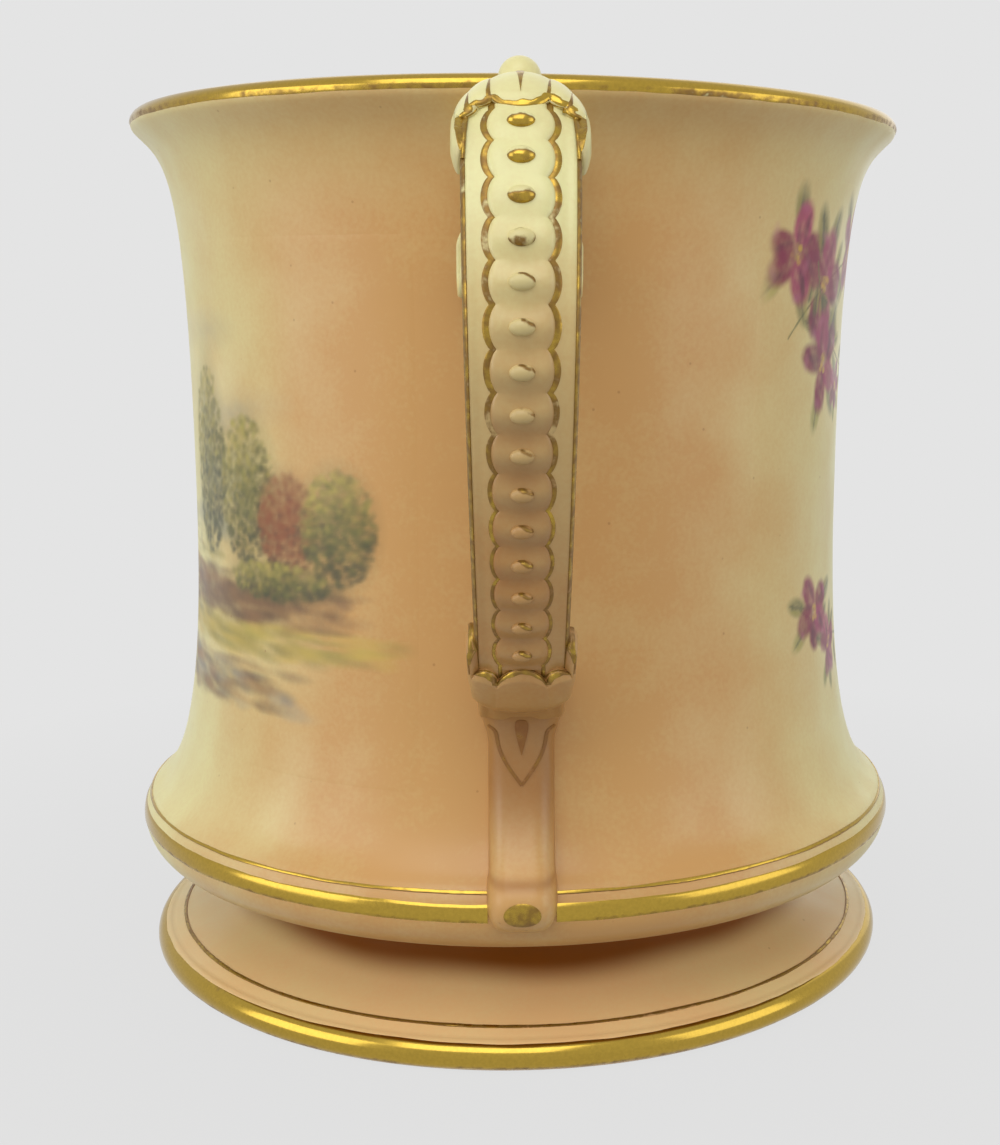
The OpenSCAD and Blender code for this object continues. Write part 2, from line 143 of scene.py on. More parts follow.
class PaintColours(bpy.types.PropertyGroup):
    pine: colour("Pine", "Darkest leaves", "#3f4226")
    olive: colour("Olive", "Leaves in shade", "#62602c")
    moss: colour("Moss", "Leaves in light", "#857c3c")
    lime: colour("Lime", "Leaf tips", "#b0a04c")
    straw: colour("Straw", "Dry grass", "#cdb14f")
    bark: colour("Bark", "Trunks", "#5a4029")
    earth: colour("Earth", "Banks in shade", "#77583a")
    clay: colour("Clay", "Banks in light", "#a27748")
    rust: colour("Rust", "Autumn leaves", "#8d4f2b")
    mist: colour("Mist", "Far hills and clouds' undersides", "#8f9084")
    sky: colour("Sky", "Sky", "#b3ad94")
    cloud: colour("Cloud", "Light in the clouds", "#e6d5a2")
    water: colour("Water", "Pond", "#879488")
    rose: colour("Rose", "Petals", "#80103a")
    crimson: colour("Crimson", "Petals in shade", "#580a2a")
    petal: colour("Petal", "Petals in light", "#9c2a58")
    blossom: colour("Blossom", "Petal tips", "#b86a84")
    pollen: colour("Pollen", "Stamens", "#cfa93c")
    leaf: colour("Leaf", "Spray leaves", "#6b6a30")
    sprig: colour("Sprig", "Young spray leaves", "#8f8a42")


def sizes():
    """The sizes of the cup and of its handles."""
    return bpy.context.scene.cup_sizes, bpy.context.scene.handle_sizes


# Lines in the plane of the axis, as (radius, height) points

def direction(angle):
    """Unit vectors at angles in degrees from the radius towards the height."""
    turn = np.radians(angle)
    return np.stack([np.cos(turn), np.sin(turn)], -1)


def arc(centre, radius, start, stop, count):
    """Points on a circle from one angle to another, in degrees."""
    return np.asarray(centre) + radius * direction(np.linspace(start, stop, count))


def bezier(points, count):
    """Points on the cubic curve of four control points."""
    p = np.asarray(points, float)
    t = np.linspace(0, 1, count)[:, None]
    u = 1 - t
    return u ** 3 * p[0] + 3 * t * u ** 2 * p[1] + 3 * t ** 2 * u * p[2] + t ** 3 * p[3]


def joined(*lines):
    """Lines set end to end, each without the first point that it shares."""
    return np.concatenate([lines[0]] + [line[1:] for line in lines[1:]])


def travelled(line):
    """Distance along a line at each of its points."""
    steps = np.linalg.norm(np.diff(line, axis=0), axis=1)
    return np.concatenate([[0.0], np.cumsum(steps)])


def spaced(line, count):
    """The same line with evenly spaced points."""
    at = travelled(line)
    new = np.linspace(0, at[-1], count)
    return np.stack([np.interp(new, at, line[:, k]) for k in range(line.shape[1])], -1)


def right_of(line):
    """Unit vectors to the right of the way the line runs."""
    run = np.gradient(line, axis=0)
    run /= np.linalg.norm(run, axis=1)[:, None]
    return np.stack([run[:, 1], -run[:, 0]], -1)


def smooth(low, high, value):
    """Goes from 0 at low to 1 at high with level ends."""
    t = np.clip((value - low) / (high - low), 0, 1)
    return t * t * (3 - 2 * t)


def ripple(values, seed, waves=5):
    """Wandering of about -1 to 1: a sum of sines of the values with random steps and phases."""
    rng = np.random.default_rng(seed)
    total = np.zeros(np.broadcast(*values).shape)
    for k in range(waves):
        turn = sum(v * rng.normal() for v in values) * (1 + 0.7 * k)
        total = total + np.sin(turn + rng.uniform(0, 6.28)) / (1 + 0.5 * k)
    return total / 2


def patchy(points, millimetres, seed):
    """Wandering of about -1 to 1 over points of space, in patches of about this size."""
    return ripple([points[..., k] / (millimetres * MM) for k in range(3)], seed)


# Outlines of the bowl and of a handle

class Bowl:
    """Outline of the bowl from the underside of its roll to its lip. Angles are in degrees."""

    flare = 45
    band_start = -4.5
    lower_slope = 146

    def __init__(self, cup):
        roll = cup.shoulder_roll
        self.roll_centre = np.array([cup.shoulder_radius - roll, cup.shoulder_height])
        self.base = cup.shoulder_height - roll
        self.lip = cup.wall / 2
        start = np.array([cup.rim_radius - cup.gilt, cup.rim_height - cup.gilt])
        flare = direction(self.flare)
        start -= self.lip * np.array([1 - flare[0], 1 + flare[1]])
        self.lip_centre = start - self.lip * direction(-self.flare)
        degree = 180 / np.pi / roll
        self.band = (self.band_start, self.band_start + cup.band_width * degree)
        first = self.band[1] + cup.band_gap * degree
        self.line = (first, first + cup.line_width * degree)
        roll_end = self.line[1] + 10
        top = self.roll_centre + roll * direction(roll_end)
        waist = np.array([cup.waist_radius, cup.waist_height])
        rise = start[1] - waist[1]
        fall = waist[1] - top[1]
        # Shares of the fall and of the rise set how full the wall's two curves are
        self.lower = bezier([top, top + 0.15 * fall * direction(self.lower_slope),
                             waist - [0, 0.589 * fall], waist], 200)
        self.upper = bezier([waist, waist + [0, 0.927 * rise],
                             start - 0.111 * rise * flare, start], 240)
        self.roll_line = arc(self.roll_centre, roll, -90, roll_end, 90)
        self.wall_line = joined(self.roll_line, self.lower, self.upper)

    def radius(self, height):
        """Outer radius at a height between the roll's underside and the lip."""
        return np.interp(height, self.wall_line[:, 1], self.wall_line[:, 0])


class Handle:
    """The strap's outer face in the handle's plane: arm, crook, bow and lower curve.
    Distances along it count from the top of the bow, and the arm's are below zero."""

    bow_top = 45
    bow_foot = -16.5
    end = -43.6
    squareness = 6
    arm_count = 40
    crook_count = 24
    curve_count = 160
    past_count = 8

    def __init__(self, cup, sizes):
        self.sizes = sizes
        bow_centre = np.array([cup.rim_radius + sizes.reach - sizes.bow_radius,
                               cup.rim_height - sizes.bow_drop])
        crook_step = sizes.bow_radius - sizes.crook_radius
        crook_centre = bow_centre + crook_step * direction(self.bow_top)
        low_centre = bow_centre - (sizes.low_radius - sizes.bow_radius) * direction(self.bow_foot)
        self.arm = crook_centre[1] + sizes.crook_radius
        self.crook = crook_centre[0]
        self.arm_start = cup.rim_radius - 8 * MM
        arm = np.stack([np.linspace(self.arm_start, self.crook, self.arm_count),
                        np.full(self.arm_count, self.arm)], -1)
        crook = arc(crook_centre, sizes.crook_radius, 90, self.bow_top, self.crook_count)
        bow = arc(bow_centre, sizes.bow_radius, self.bow_top, self.bow_foot, self.curve_count)
        low = arc(low_centre, sizes.low_radius, self.bow_foot, self.end, self.curve_count)
        self.foot_point = low[-1]
        past = low[-1] + np.linspace(0, 3 * MM, self.past_count)[:, None] * direction(self.end - 90)
        self.points = joined(arm, crook, bow, low, past)
        turned = joined(np.full(self.arm_count, 90.0), np.linspace(90, self.bow_top, self.crook_count),
                        np.linspace(self.bow_top, self.bow_foot, self.curve_count),
                        np.linspace(self.bow_foot, self.end, self.curve_count),
                        np.full(self.past_count, self.end))
        self.normals = direction(turned)
        self.at = travelled(self.points)
        self.at -= self.at[self.arm_count + self.crook_count - 2]
        self.arm_at = self.at[self.arm_count - 1]
        self.first_bead = 0.785 * sizes.pitch
        self.foot_at = self.at[-self.past_count]
        # Angles crowd at the middles of the faces, where the section's width changes fastest
        dense = np.linspace(0, 2 * np.pi, 4001)
        dense = dense - np.sin(4 * dense) / 4
        outline = np.stack(self.shape(dense, sizes.top_width / 2, sizes.thickness / 2), -1)
        self.girth_angles = dense
        self.girth = travelled(outline) - np.interp(np.pi / 2, dense, travelled(outline))

    def face(self, along):
        """Points and outward normals of the face at distances along it."""
        point = [np.interp(along, self.at, self.points[:, k]) for k in (0, 1)]
        normal = [np.interp(along, self.at, self.normals[:, k]) for k in (0, 1)]
        return point, normal

    def half_width(self, height):
        """Half the strap's width, which falls evenly with the height."""
        share = (height - self.foot_point[1]) / (self.arm - self.foot_point[1])
        return (self.sizes.low_width + (self.sizes.top_width - self.sizes.low_width) * share) / 2

    def shape(self, angle, half_width, half_thickness):
        """Rounded oblong: cosine and sine of the angle, each raised to a small power."""
        power = 2 / self.squareness
        across = half_width * np.sign(np.cos(angle)) * np.abs(np.cos(angle)) ** power
        out = half_thickness * np.sign(np.sin(angle)) * np.abs(np.sin(angle)) ** power
        return across, out

    def hollow(self, share):
        """Dish beside the strap's edges, by the share of the half width."""
        return self.sizes.dish * np.exp(-((np.abs(share) - 0.76) / 0.13) ** 2)

    def place(self, along, across, out):
        """Point of space at a distance along, across, and out from the strap's face. Above the
        arch's spring, heights shrink towards the sides as a half circle does."""
        (radius, height), (n_radius, n_height) = self.face(along)
        across = across + 0 * along
        high = height + n_height * out
        spring = self.arm - 0.48 * self.sizes.top_width
        round_off = np.sqrt(np.clip(1 - (across / self.sizes.arch) ** 2, 0.02, 1))
        bent = np.where(high > spring, spring + (high - spring) * round_off, high)
        return np.stack([across, -(radius + n_radius * out), bent], -1)

    def on_girth(self, along, angle, grow):
        """Point on the strap's section at an angle round it, moved out by grow."""
        (_, height), _ = self.face(along)
        half = self.half_width(height)
        thick = self.sizes.thickness / 2
        across, out = self.shape(angle, half + grow, thick + grow)
        dished = np.where(np.sin(angle) > 0.3, self.hollow(across / half), 0)
        return self.place(along, across, out - thick - np.where(grow > 0, 0, dished))

    def on_face(self, along, across, lift):
        """Point over the strap's front, lifted off its rounded and dished face."""
        (_, height), _ = self.face(along)
        share = np.clip(np.abs(across) / self.half_width(height), 0, 0.999)
        rounding = (1 - share ** self.squareness) ** (1 / self.squareness) - 1
        return self.place(along, across,
                          self.sizes.thickness / 2 * rounding - self.hollow(share) + lift)

    def girth_angle(self, distance):
        """Angle round the section at a distance to the right of the middle of its front."""
        return np.interp(-distance, self.girth, self.girth_angles)

    def even_angles(self, count):
        """Angles round the section, spread over its faces and crowded at its corners."""
        even = (self.girth - self.girth[0]) / (self.girth[-1] - self.girth[0])
        mixed = 0.6 * even + 0.4 * self.girth_angles / (2 * np.pi)
        return np.interp(np.arange(count) / count, mixed, self.girth_angles)


# Meshes

def grid_faces(rows, columns, wrap_rows, wrap_columns):
    """Quads between neighbouring rows and columns; a wrapped way joins its last line to its first."""
    row = np.arange(rows if wrap_rows else rows - 1)
    column = np.arange(columns if wrap_columns else columns - 1)
    i, j = np.meshgrid(row, column, indexing="ij")
    down = (i + 1) % rows
    over = (j + 1) % columns
    corners = [i * columns + j, down * columns + j, down * columns + over, i * columns + over]
    return np.stack(corners, -1).reshape(-1, 4)


def surface(name, grids, material, nodes=(), slot="", wrap=(False, True), capped=True,
            marks=None, sharp=50):
    """One piece from grids of points. Capped grids are closed at their first and last rows by a
    fan to the row's middle. Marks are values or colours at the points, kept as attributes."""
    points = []
    faces = []
    kept = {key: [] for key in marks or {}}
    start = 0
    for index, grid in enumerate(grids):
        values = {key: marks[key][index] for key in kept}
        if capped:
            first, last = (np.broadcast_to(row.mean(0), (1, *row.shape)) for row in (grid[0], grid[-1]))
            grid = np.concatenate([first, grid, last])
            values = {key: np.concatenate([v[:1], v, v[-1:]]) for key, v in values.items()}
        rows, columns = grid.shape[:2]
        points.append(grid.reshape(-1, 3))
        faces.append(grid_faces(rows, columns, *wrap) + start)
        for key, value in values.items():
            kept[key].append(value.reshape(rows * columns, -1))
        start += rows * columns
    points = np.concatenate(points)
    faces = np.concatenate(faces)
    mesh = bpy.data.meshes.new(name)
    mesh.vertices.add(len(points))
    mesh.vertices.foreach_set("co", points.astype(np.float32).ravel())
    mesh.loops.add(faces.size)
    mesh.loops.foreach_set("vertex_index", faces.astype(np.int32).ravel())
    mesh.polygons.add(len(faces))
    mesh.polygons.foreach_set("loop_start", np.arange(0, faces.size, 4, dtype=np.int32))
    mesh.update(calc_edges=True)
    for key, value in kept.items():
        value = np.concatenate(value).astype(np.float32)
        wide = value.shape[1] == 4
        layer = mesh.attributes.new(key, "FLOAT_COLOR" if wide else "FLOAT", "POINT")
        layer.data.foreach_set("color" if wide else "value", value.ravel())
    shell = bmesh.new()
    shell.from_mesh(mesh)
    bmesh.ops.remove_doubles(shell, verts=shell.verts, dist=1e-7)
    bmesh.ops.dissolve_degenerate(shell, edges=shell.edges, dist=1e-8)
    bmesh.ops.recalc_face_normals(shell, faces=shell.faces)
    shell.to_mesh(mesh)
    shell.free()
    mesh.polygons.foreach_set("use_smooth", np.ones(len(mesh.polygons), bool))
    mesh.set_sharp_from_angle(angle=np.radians(sharp))
    mesh.materials.append(material)
    piece = bpy.data.objects.new(name, mesh)
    bpy.context.scene.collection.objects.link(piece)
    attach(piece, "root")
    if nodes:
        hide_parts(*nodes)
    return piece


def opposite(grid):
    """The same shape on the back handle, turned half round the axis."""
    return grid * np.array([-1, -1, 1])


def on_both_handles(name, grids, material, slot, marks=None, **options):
    """The same piece on the front and on the back handle, for the two nodes of that name."""
    finish = "burnished" if slot == "gilding" else "glazed"
    for side in ("front", "back"):
        turned = grids if side == "front" else [opposite(grid) for grid in grids]
        surface(f"{side}_{name}_{finish}", turned, material, [f"{side}_{name}"], slot,
                marks=marks, **options)


def film(place, first, second, rise, depth):
    """A thin layer over a surface that is placed by two coordinates and a height: its face at the
    rise, and its underside sunk by the depth."""
    under = place(first[:, ::-1], second[:, ::-1], np.full((1, 1), -depth))
    return np.concatenate([place(first, second, rise), under], 1)


def revolved(line, count):
    """A line turned round the axis, from the front towards the right."""
    turn = np.linspace(0, 2 * np.pi, count, endpoint=False)
    radius = line[:, 0][:, None]
    return np.stack([radius * np.sin(turn), -radius * np.cos(turn),
                     np.broadcast_to(line[:, 1][:, None], (len(line), count))], -1)


def azimuth(points):
    """Angle in degrees from the front, towards the right, of points of space."""
    return np.degrees(np.arctan2(points[..., 0], -points[..., 1]))


def ground(points):
    """Share of apricot over the ivory: full round the handles, gone between them, cloudy."""
    turn = azimuth(points)
    off = np.minimum(np.abs(turn), 180 - np.abs(turn))
    drift = patchy(points, 14, 3)
    share = 1 - smooth(18, 82, off + 9 * drift)
    high = smooth(0.118, 0.142, points[..., 2])
    blown = 0.94 * share * (1 - 0.28 * high) + 0.14 * high * (1 - share)
    return np.clip(0.06 + blown + 0.06 * drift, 0, 1)


# Materials

def add(tree, kind, inputs=None, **settings):
    """Adds one node, sets its properties, and gives each named input a value or a link."""
    node = tree.nodes.new(kind)
    for key, value in settings.items():
        setattr(node, key, value)
    for key, value in (inputs or {}).items():
        if isinstance(value, bpy.types.NodeSocket):
            tree.links.new(value, node.inputs[key])
        else:
            node.inputs[key].default_value = value
    return node


def per(millimetres):
    """Scale of a noise whose patches are about this wide."""
    return 1 / (millimetres * MM)


def opaque(rgb):
    """A colour with full alpha."""
    return (*rgb, 1.0)


def new_material(name):
    """An empty node material and its tree."""
    material = bpy.data.materials.new(name)
    material.use_nodes = True
    material.node_tree.nodes.clear()
    return material, material.node_tree


def glazed_porcelain(tint="apricot"):
    """Slip-cast ivory porcelain with a tinted ground blown on and enamels painted over it.
    The satin glaze gives broad soft lights; the ground is cloudy and finely stippled; fine dirt
    sits in the glaze as sparse brown specks."""
    name = f"satin_glazed_{tint}_porcelain"
    if name in bpy.data.materials:
        return bpy.data.materials[name]
    colours = bpy.context.scene.cup_colours
    material, tree = new_material(name)
    place = add(tree, "ShaderNodeTexCoord").outputs["Object"]
    blown = add(tree, "ShaderNodeAttribute", attribute_name="ground").outputs["Fac"]
    paint = add(tree, "ShaderNodeAttribute", attribute_name="paint").outputs["Color"]
    cover = add(tree, "ShaderNodeAttribute", attribute_name="cover").outputs["Fac"]
    brown_and_shade = add(tree, "ShaderNodeAttribute", attribute_name="brown_and_shade").outputs["Fac"]
    # Blown ground: clouds about 9 mm wide and a stipple of 0.7 mm, drawn coarser than the real one
    clouds = add(tree, "ShaderNodeTexNoise", {"Vector": place, "Scale": per(9), "Detail": 3})
    stipple = add(tree, "ShaderNodeTexNoise", {"Vector": place, "Scale": per(0.7), "Detail": 2})
    cloudy = add(tree, "ShaderNodeMapRange", {"Value": clouds.outputs[0], "From Min": 0.3,
                                              "From Max": 0.7, "To Min": -0.07, "To Max": 0.07})
    fine = add(tree, "ShaderNodeMapRange", {"Value": stipple.outputs[0], "From Min": 0.3,
                                            "From Max": 0.7, "To Min": -0.05, "To Max": 0.05})
    uneven = add(tree, "ShaderNodeMath", {0: cloudy.outputs[0], 1: fine.outputs[0]}, operation="ADD")
    share = add(tree, "ShaderNodeMath", {0: blown, 1: uneven.outputs[0]}, operation="ADD",
                use_clamp=True)
    base = add(tree, "ShaderNodeMix", {0: share.outputs[0], 6: opaque(colours.ivory),
                                       7: opaque(getattr(colours, tint))}, data_type="RGBA")
    # Brown that hands and years leave on the handles, and painted shade in hollows, creases and
    # recesses
    browned_and_shaded = add(tree, "ShaderNodeMix", {0: brown_and_shade, 6: base.outputs[2], 7: opaque(colours.grime_and_shade_brown)},
                  data_type="RGBA")
    painted = add(tree, "ShaderNodeMix", {0: cover, 6: browned_and_shaded.outputs[2], 7: paint},
                  data_type="RGBA")
    # Specks about 0.4 mm wide, one or two to the square centimetre
    grit = add(tree, "ShaderNodeTexVoronoi", {"Vector": place, "Scale": per(5.5), "Randomness": 1.0})
    speck = add(tree, "ShaderNodeMapRange", {"Value": grit.outputs["Distance"], "From Min": 0.025,
                                             "From Max": 0.05, "To Min": 0.35, "To Max": 0.0})
    specked = add(tree, "ShaderNodeMix", {0: speck.outputs[0], 6: painted.outputs[2],
                                          7: opaque(colours.grime_and_shade_brown)}, data_type="RGBA")
    rough = add(tree, "ShaderNodeMapRange", {"Value": clouds.outputs[0], "From Min": 0.3,
                                             "From Max": 0.7, "To Min": 0.34, "To Max": 0.46})
    # Orange-peel of the glaze, about 2 mm across and a few hundredths deep
    peel = add(tree, "ShaderNodeTexNoise", {"Vector": place, "Scale": per(2.2), "Detail": 2})
    bump = add(tree, "ShaderNodeBump", {"Height": peel.outputs[0], "Strength": 0.35,
                                        "Distance": 0.06 * MM})
    glaze = add(tree, "ShaderNodeBsdfPrincipled", {
        "Base Color": specked.outputs[2], "Roughness": rough.outputs[0], "IOR": 1.5,
        "Coat Weight": 0.12, "Coat Roughness": 0.22, "Normal": bump.outputs[0]})
    add(tree, "ShaderNodeOutputMaterial", {"Surface": glaze.outputs[0]})
    return material


def burnished_gilding():
    """Honey gilding, brushed on, fired and burnished with a stone: soft bright metal with fine
    rubbing marks, thin and brown at its edges, with a painted dark reflection along the bands'
    lower edges, and rubbed through where hands reach."""
    name = "burnished_honey_gilding"
    if name in bpy.data.materials:
        return bpy.data.materials[name]
    colours = bpy.context.scene.cup_colours
    material, tree = new_material(name)
    place = add(tree, "ShaderNodeTexCoord").outputs["Object"]
    left = add(tree, "ShaderNodeAttribute", attribute_name="gilt").outputs["Fac"]
    # Rubbed patches about 1.4 mm wide and brush marks of 0.5 mm
    rubbing = add(tree, "ShaderNodeTexNoise", {"Vector": place, "Scale": per(1.4), "Detail": 4})
    marks = add(tree, "ShaderNodeTexNoise", {"Vector": place, "Scale": per(0.5), "Detail": 2})
    sway = add(tree, "ShaderNodeMapRange", {"Value": rubbing.outputs[0], "From Min": 0.25,
                                            "From Max": 0.75, "To Min": -0.22, "To Max": 0.22})
    level = add(tree, "ShaderNodeMath", {0: left, 1: sway.outputs[0]}, operation="ADD")
    metal = add(tree, "ShaderNodeMapRange", {"Value": level.outputs[0], "From Min": 0.3,
                                             "From Max": 0.55}, interpolation_type="SMOOTHSTEP")
    full = add(tree, "ShaderNodeMapRange", {"Value": level.outputs[0], "From Min": 0.45,
                                            "From Max": 0.95}, interpolation_type="SMOOTHSTEP")
    rubbed = add(tree, "ShaderNodeMix", {0: full.outputs[0], 6: opaque(colours.worn),
                                         7: opaque(colours.gold)}, data_type="RGBA")
    shade = add(tree, "ShaderNodeMapRange", {"Value": marks.outputs[0], "From Min": 0.3,
                                             "From Max": 0.7, "To Min": 0.93, "To Max": 1.05})
    toned = add(tree, "ShaderNodeMix", {0: 1.0, 6: rubbed.outputs[2], 7: shade.outputs[0]},
                data_type="RGBA", blend_type="MULTIPLY")
    # Where it is rubbed through, the porcelain under it shows: ivory above, tan lower down, as dark as
    # the lower handles' brown of grime and painted shade
    height = add(tree, "ShaderNodeSeparateXYZ", {0: place}).outputs["Z"]
    upper = add(tree, "ShaderNodeMapRange", {"Value": height, "From Min": 0.085, "From Max": 0.135})
    under = add(tree, "ShaderNodeMix", {0: upper.outputs[0], 6: opaque(colours.tan),
                                        7: opaque(colours.ivory)}, data_type="RGBA")
    bared = add(tree, "ShaderNodeMix", {0: metal.outputs[0], 6: under.outputs[2],
                                        7: toned.outputs[2]}, data_type="RGBA")
    rough = add(tree, "ShaderNodeMapRange", {"Value": full.outputs[0], "To Min": 0.44, "To Max": 0.17})
    # Worn gilding scatters more and mirrors less
    mirror = add(tree, "ShaderNodeMapRange", {"Value": full.outputs[0], "To Min": 0.5, "To Max": 1.0})
    mirror = add(tree, "ShaderNodeMath", {0: mirror.outputs[0], 1: metal.outputs[0]},
                 operation="MULTIPLY")
    # On the tails little but the brown of the fired oils is left
    brown_and_shade = add(tree, "ShaderNodeAttribute", attribute_name="brown_and_shade").outputs["Fac"]
    browned = add(tree, "ShaderNodeMix", {0: brown_and_shade, 6: bared.outputs[2], 7: opaque(colours.grime_and_shade_brown)},
                  data_type="RGBA")
    mirror = add(tree, "ShaderNodeMath", {0: mirror.outputs[0], 1: brown_and_shade}, operation="SUBTRACT",
                 use_clamp=True)
    bump = add(tree, "ShaderNodeBump", {"Height": marks.outputs[0], "Strength": 0.1,
                                        "Distance": 0.03 * MM})
    leaf = add(tree, "ShaderNodeBsdfPrincipled", {
        "Base Color": browned.outputs[2], "Metallic": mirror.outputs[0],
        "Roughness": rough.outputs[0], "Normal": bump.outputs[0]})
    add(tree, "ShaderNodeOutputMaterial", {"Surface": leaf.outputs[0]})
    return material


# Bowl, foot and their gilding

class CUP_OT_bowl(bpy.types.Operator):
    """Cast bowl: its outline turned round the axis, outside, over the lip and down inside"""

    bl_idname = "cup.bowl"
    bl_label = "Bowl"

    def execute(self, context):
        cup, _ = sizes()
        bowl = Bowl(cup)
        under = np.stack([np.linspace(0, bowl.roll_line[0, 0], 10), np.full(10, bowl.base)], -1)
        outside = joined(spaced(bowl.roll_line, 36), spaced(bowl.lower, 54), spaced(bowl.upper, 70))
        lip = arc(bowl.lip_centre, bowl.lip, -bowl.flare, 180 - bowl.flare, 17)
        inner = spaced(bowl.wall_line - cup.wall * right_of(bowl.wall_line), 62)[::-1]
        inner = inner[inner[:, 1] > bowl.base + cup.wall]
        floor = bowl.base + cup.wall
        bottom = np.stack([np.linspace(inner[-1, 0], 0, 12), np.full(12, floor)], -1)
        grid = revolved(joined(under, outside, lip, inner, bottom), 360)
        tint = ground(grid)
        inside = np.linalg.norm(grid[..., :2], axis=-1) < bowl.radius(grid[..., 2]) - 0.6 * cup.wall
        tint = np.where(inside & (grid[..., 2] > floor - MM), 0.05, tint)
        # Painted shade: brown darkens the roll's underside towards the base, in the gap over the foot
        painted_recess_shade = 0.4 * (1 - smooth(bowl.base, bowl.base + 2.6 * MM, grid[..., 2]))
        surface("bowl", [grid], glazed_porcelain(), ["cup_body"], "ivory_porcelain",
                capped=False, marks={"ground": [tint], "brown_and_shade": [painted_recess_shade]}, sharp=60)
        return {"FINISHED"}


class CUP_OT_foot(bpy.types.Operator):
    """Cast foot: neck, cove, border, round edge, standing ring and hollow, turned round the axis"""

    bl_idname = "cup.foot"
    bl_label = "Foot"

    def execute(self, context):
        cup, _ = sizes()
        wall = cup.foot_wall
        base = cup.shoulder_height - cup.shoulder_roll
        edge = np.array([cup.foot_radius - cup.gilt - cup.foot_edge, cup.foot_edge])
        border = np.array([cup.border_radius, cup.border_height])
        cove = bezier([[cup.neck_radius, base], [cup.neck_radius, base - 1.5 * wall],
                       [cup.neck_radius + 1.25 * wall, border[1] + cup.foot_edge], border], 60)
        rounded = arc(edge, cup.foot_edge, 90, -90, 30)
        flat = np.stack([border, rounded[0]])
        stand = edge[0] - cup.stand_width
        hollow_radius = cup.neck_radius - wall
        hollow = bezier([[stand, 0], [stand - wall, 0.75 * wall],
                         [hollow_radius, base - 2.25 * wall], [hollow_radius, base]], 30)
        ring = np.stack([rounded[-1], hollow[0]])
        grid = revolved(joined(cove, spaced(flat, 6), rounded, spaced(ring, 5), hollow), 300)
        turn = azimuth(grid)
        drift = patchy(grid, 16, 8)
        tint = np.clip(0.78 + 0.14 * drift + 0.12 * np.cos(np.radians(2 * turn)), 0, 1)
        # Painted shade: brown darkens the upper cove and the neck, in the gap under the bowl's roll
        painted_recess_shade = smooth(0.44 * base, 0.62 * base, grid[..., 2] + 0.5 * MM * drift)
        # Painted light: the foot's ground is the lightened apricot
        surface("spreading_foot", [grid], glazed_porcelain("blush"), ["foot"], "blush_porcelain",
                wrap=(True, True), capped=False, marks={"ground": [tint], "brown_and_shade": [painted_recess_shade]}, sharp=40)
        return {"FINISHED"}


def gilt_ring(outline, spans, seed, wander, level, lift):
    """Bands of gilding along an outline turned round the axis, with hand-banded wandering edges.
    The outline gives (radius, height) points and outward normals at shares across the band, from
    its lower edge, where the gold is thin and brown, worn and with a painted dark reflection, to its
    upper one. Level is how much is left."""
    grids = []
    marks = []
    for first, last in spans:
        turn = np.radians(np.linspace(first, last, max(int(abs(last - first) * 2), 8)))
        edge = wander * ripple([np.sin(turn) * 9, np.cos(turn) * 9], seed, 7)
        other = wander * ripple([np.sin(turn) * 9, np.cos(turn) * 9], seed + 1, 7)
        shares = np.linspace(0, 1, 9)
        across = edge[:, None] * (1 - shares) + other[:, None] * shares + shares
        point, normal = outline(across)
        dome = lift * np.sqrt(np.clip(1 - (2 * shares - 1) ** 6, 0, 1))
        top = point + normal * (dome[None, :, None] + 0.01 * MM)
        under = (point - normal * 0.08 * MM)[:, ::-1]
        section = np.concatenate([top, under], 1)
        radius = section[..., 0]
        grids.append(np.stack([radius * np.sin(turn)[:, None], -radius * np.cos(turn)[:, None],
                               section[..., 1]], -1))
        both = np.concatenate([shares, shares[::-1]])
        # The lower edge is left thin and brown as wear and as a painted dark reflection; the upper edge
        # only wears thin
        thin = 0.2 * smooth(0.8, 1.0, both) + 0.45 * (1 - smooth(0.08, 0.34, both))
        rub = 0.14 * ripple([np.sin(turn) * 6, np.cos(turn) * 6], seed + 2, 6)
        marks.append(np.clip(level + rub[:, None] - thin[None, :], 0, 1.3))
    return grids, marks


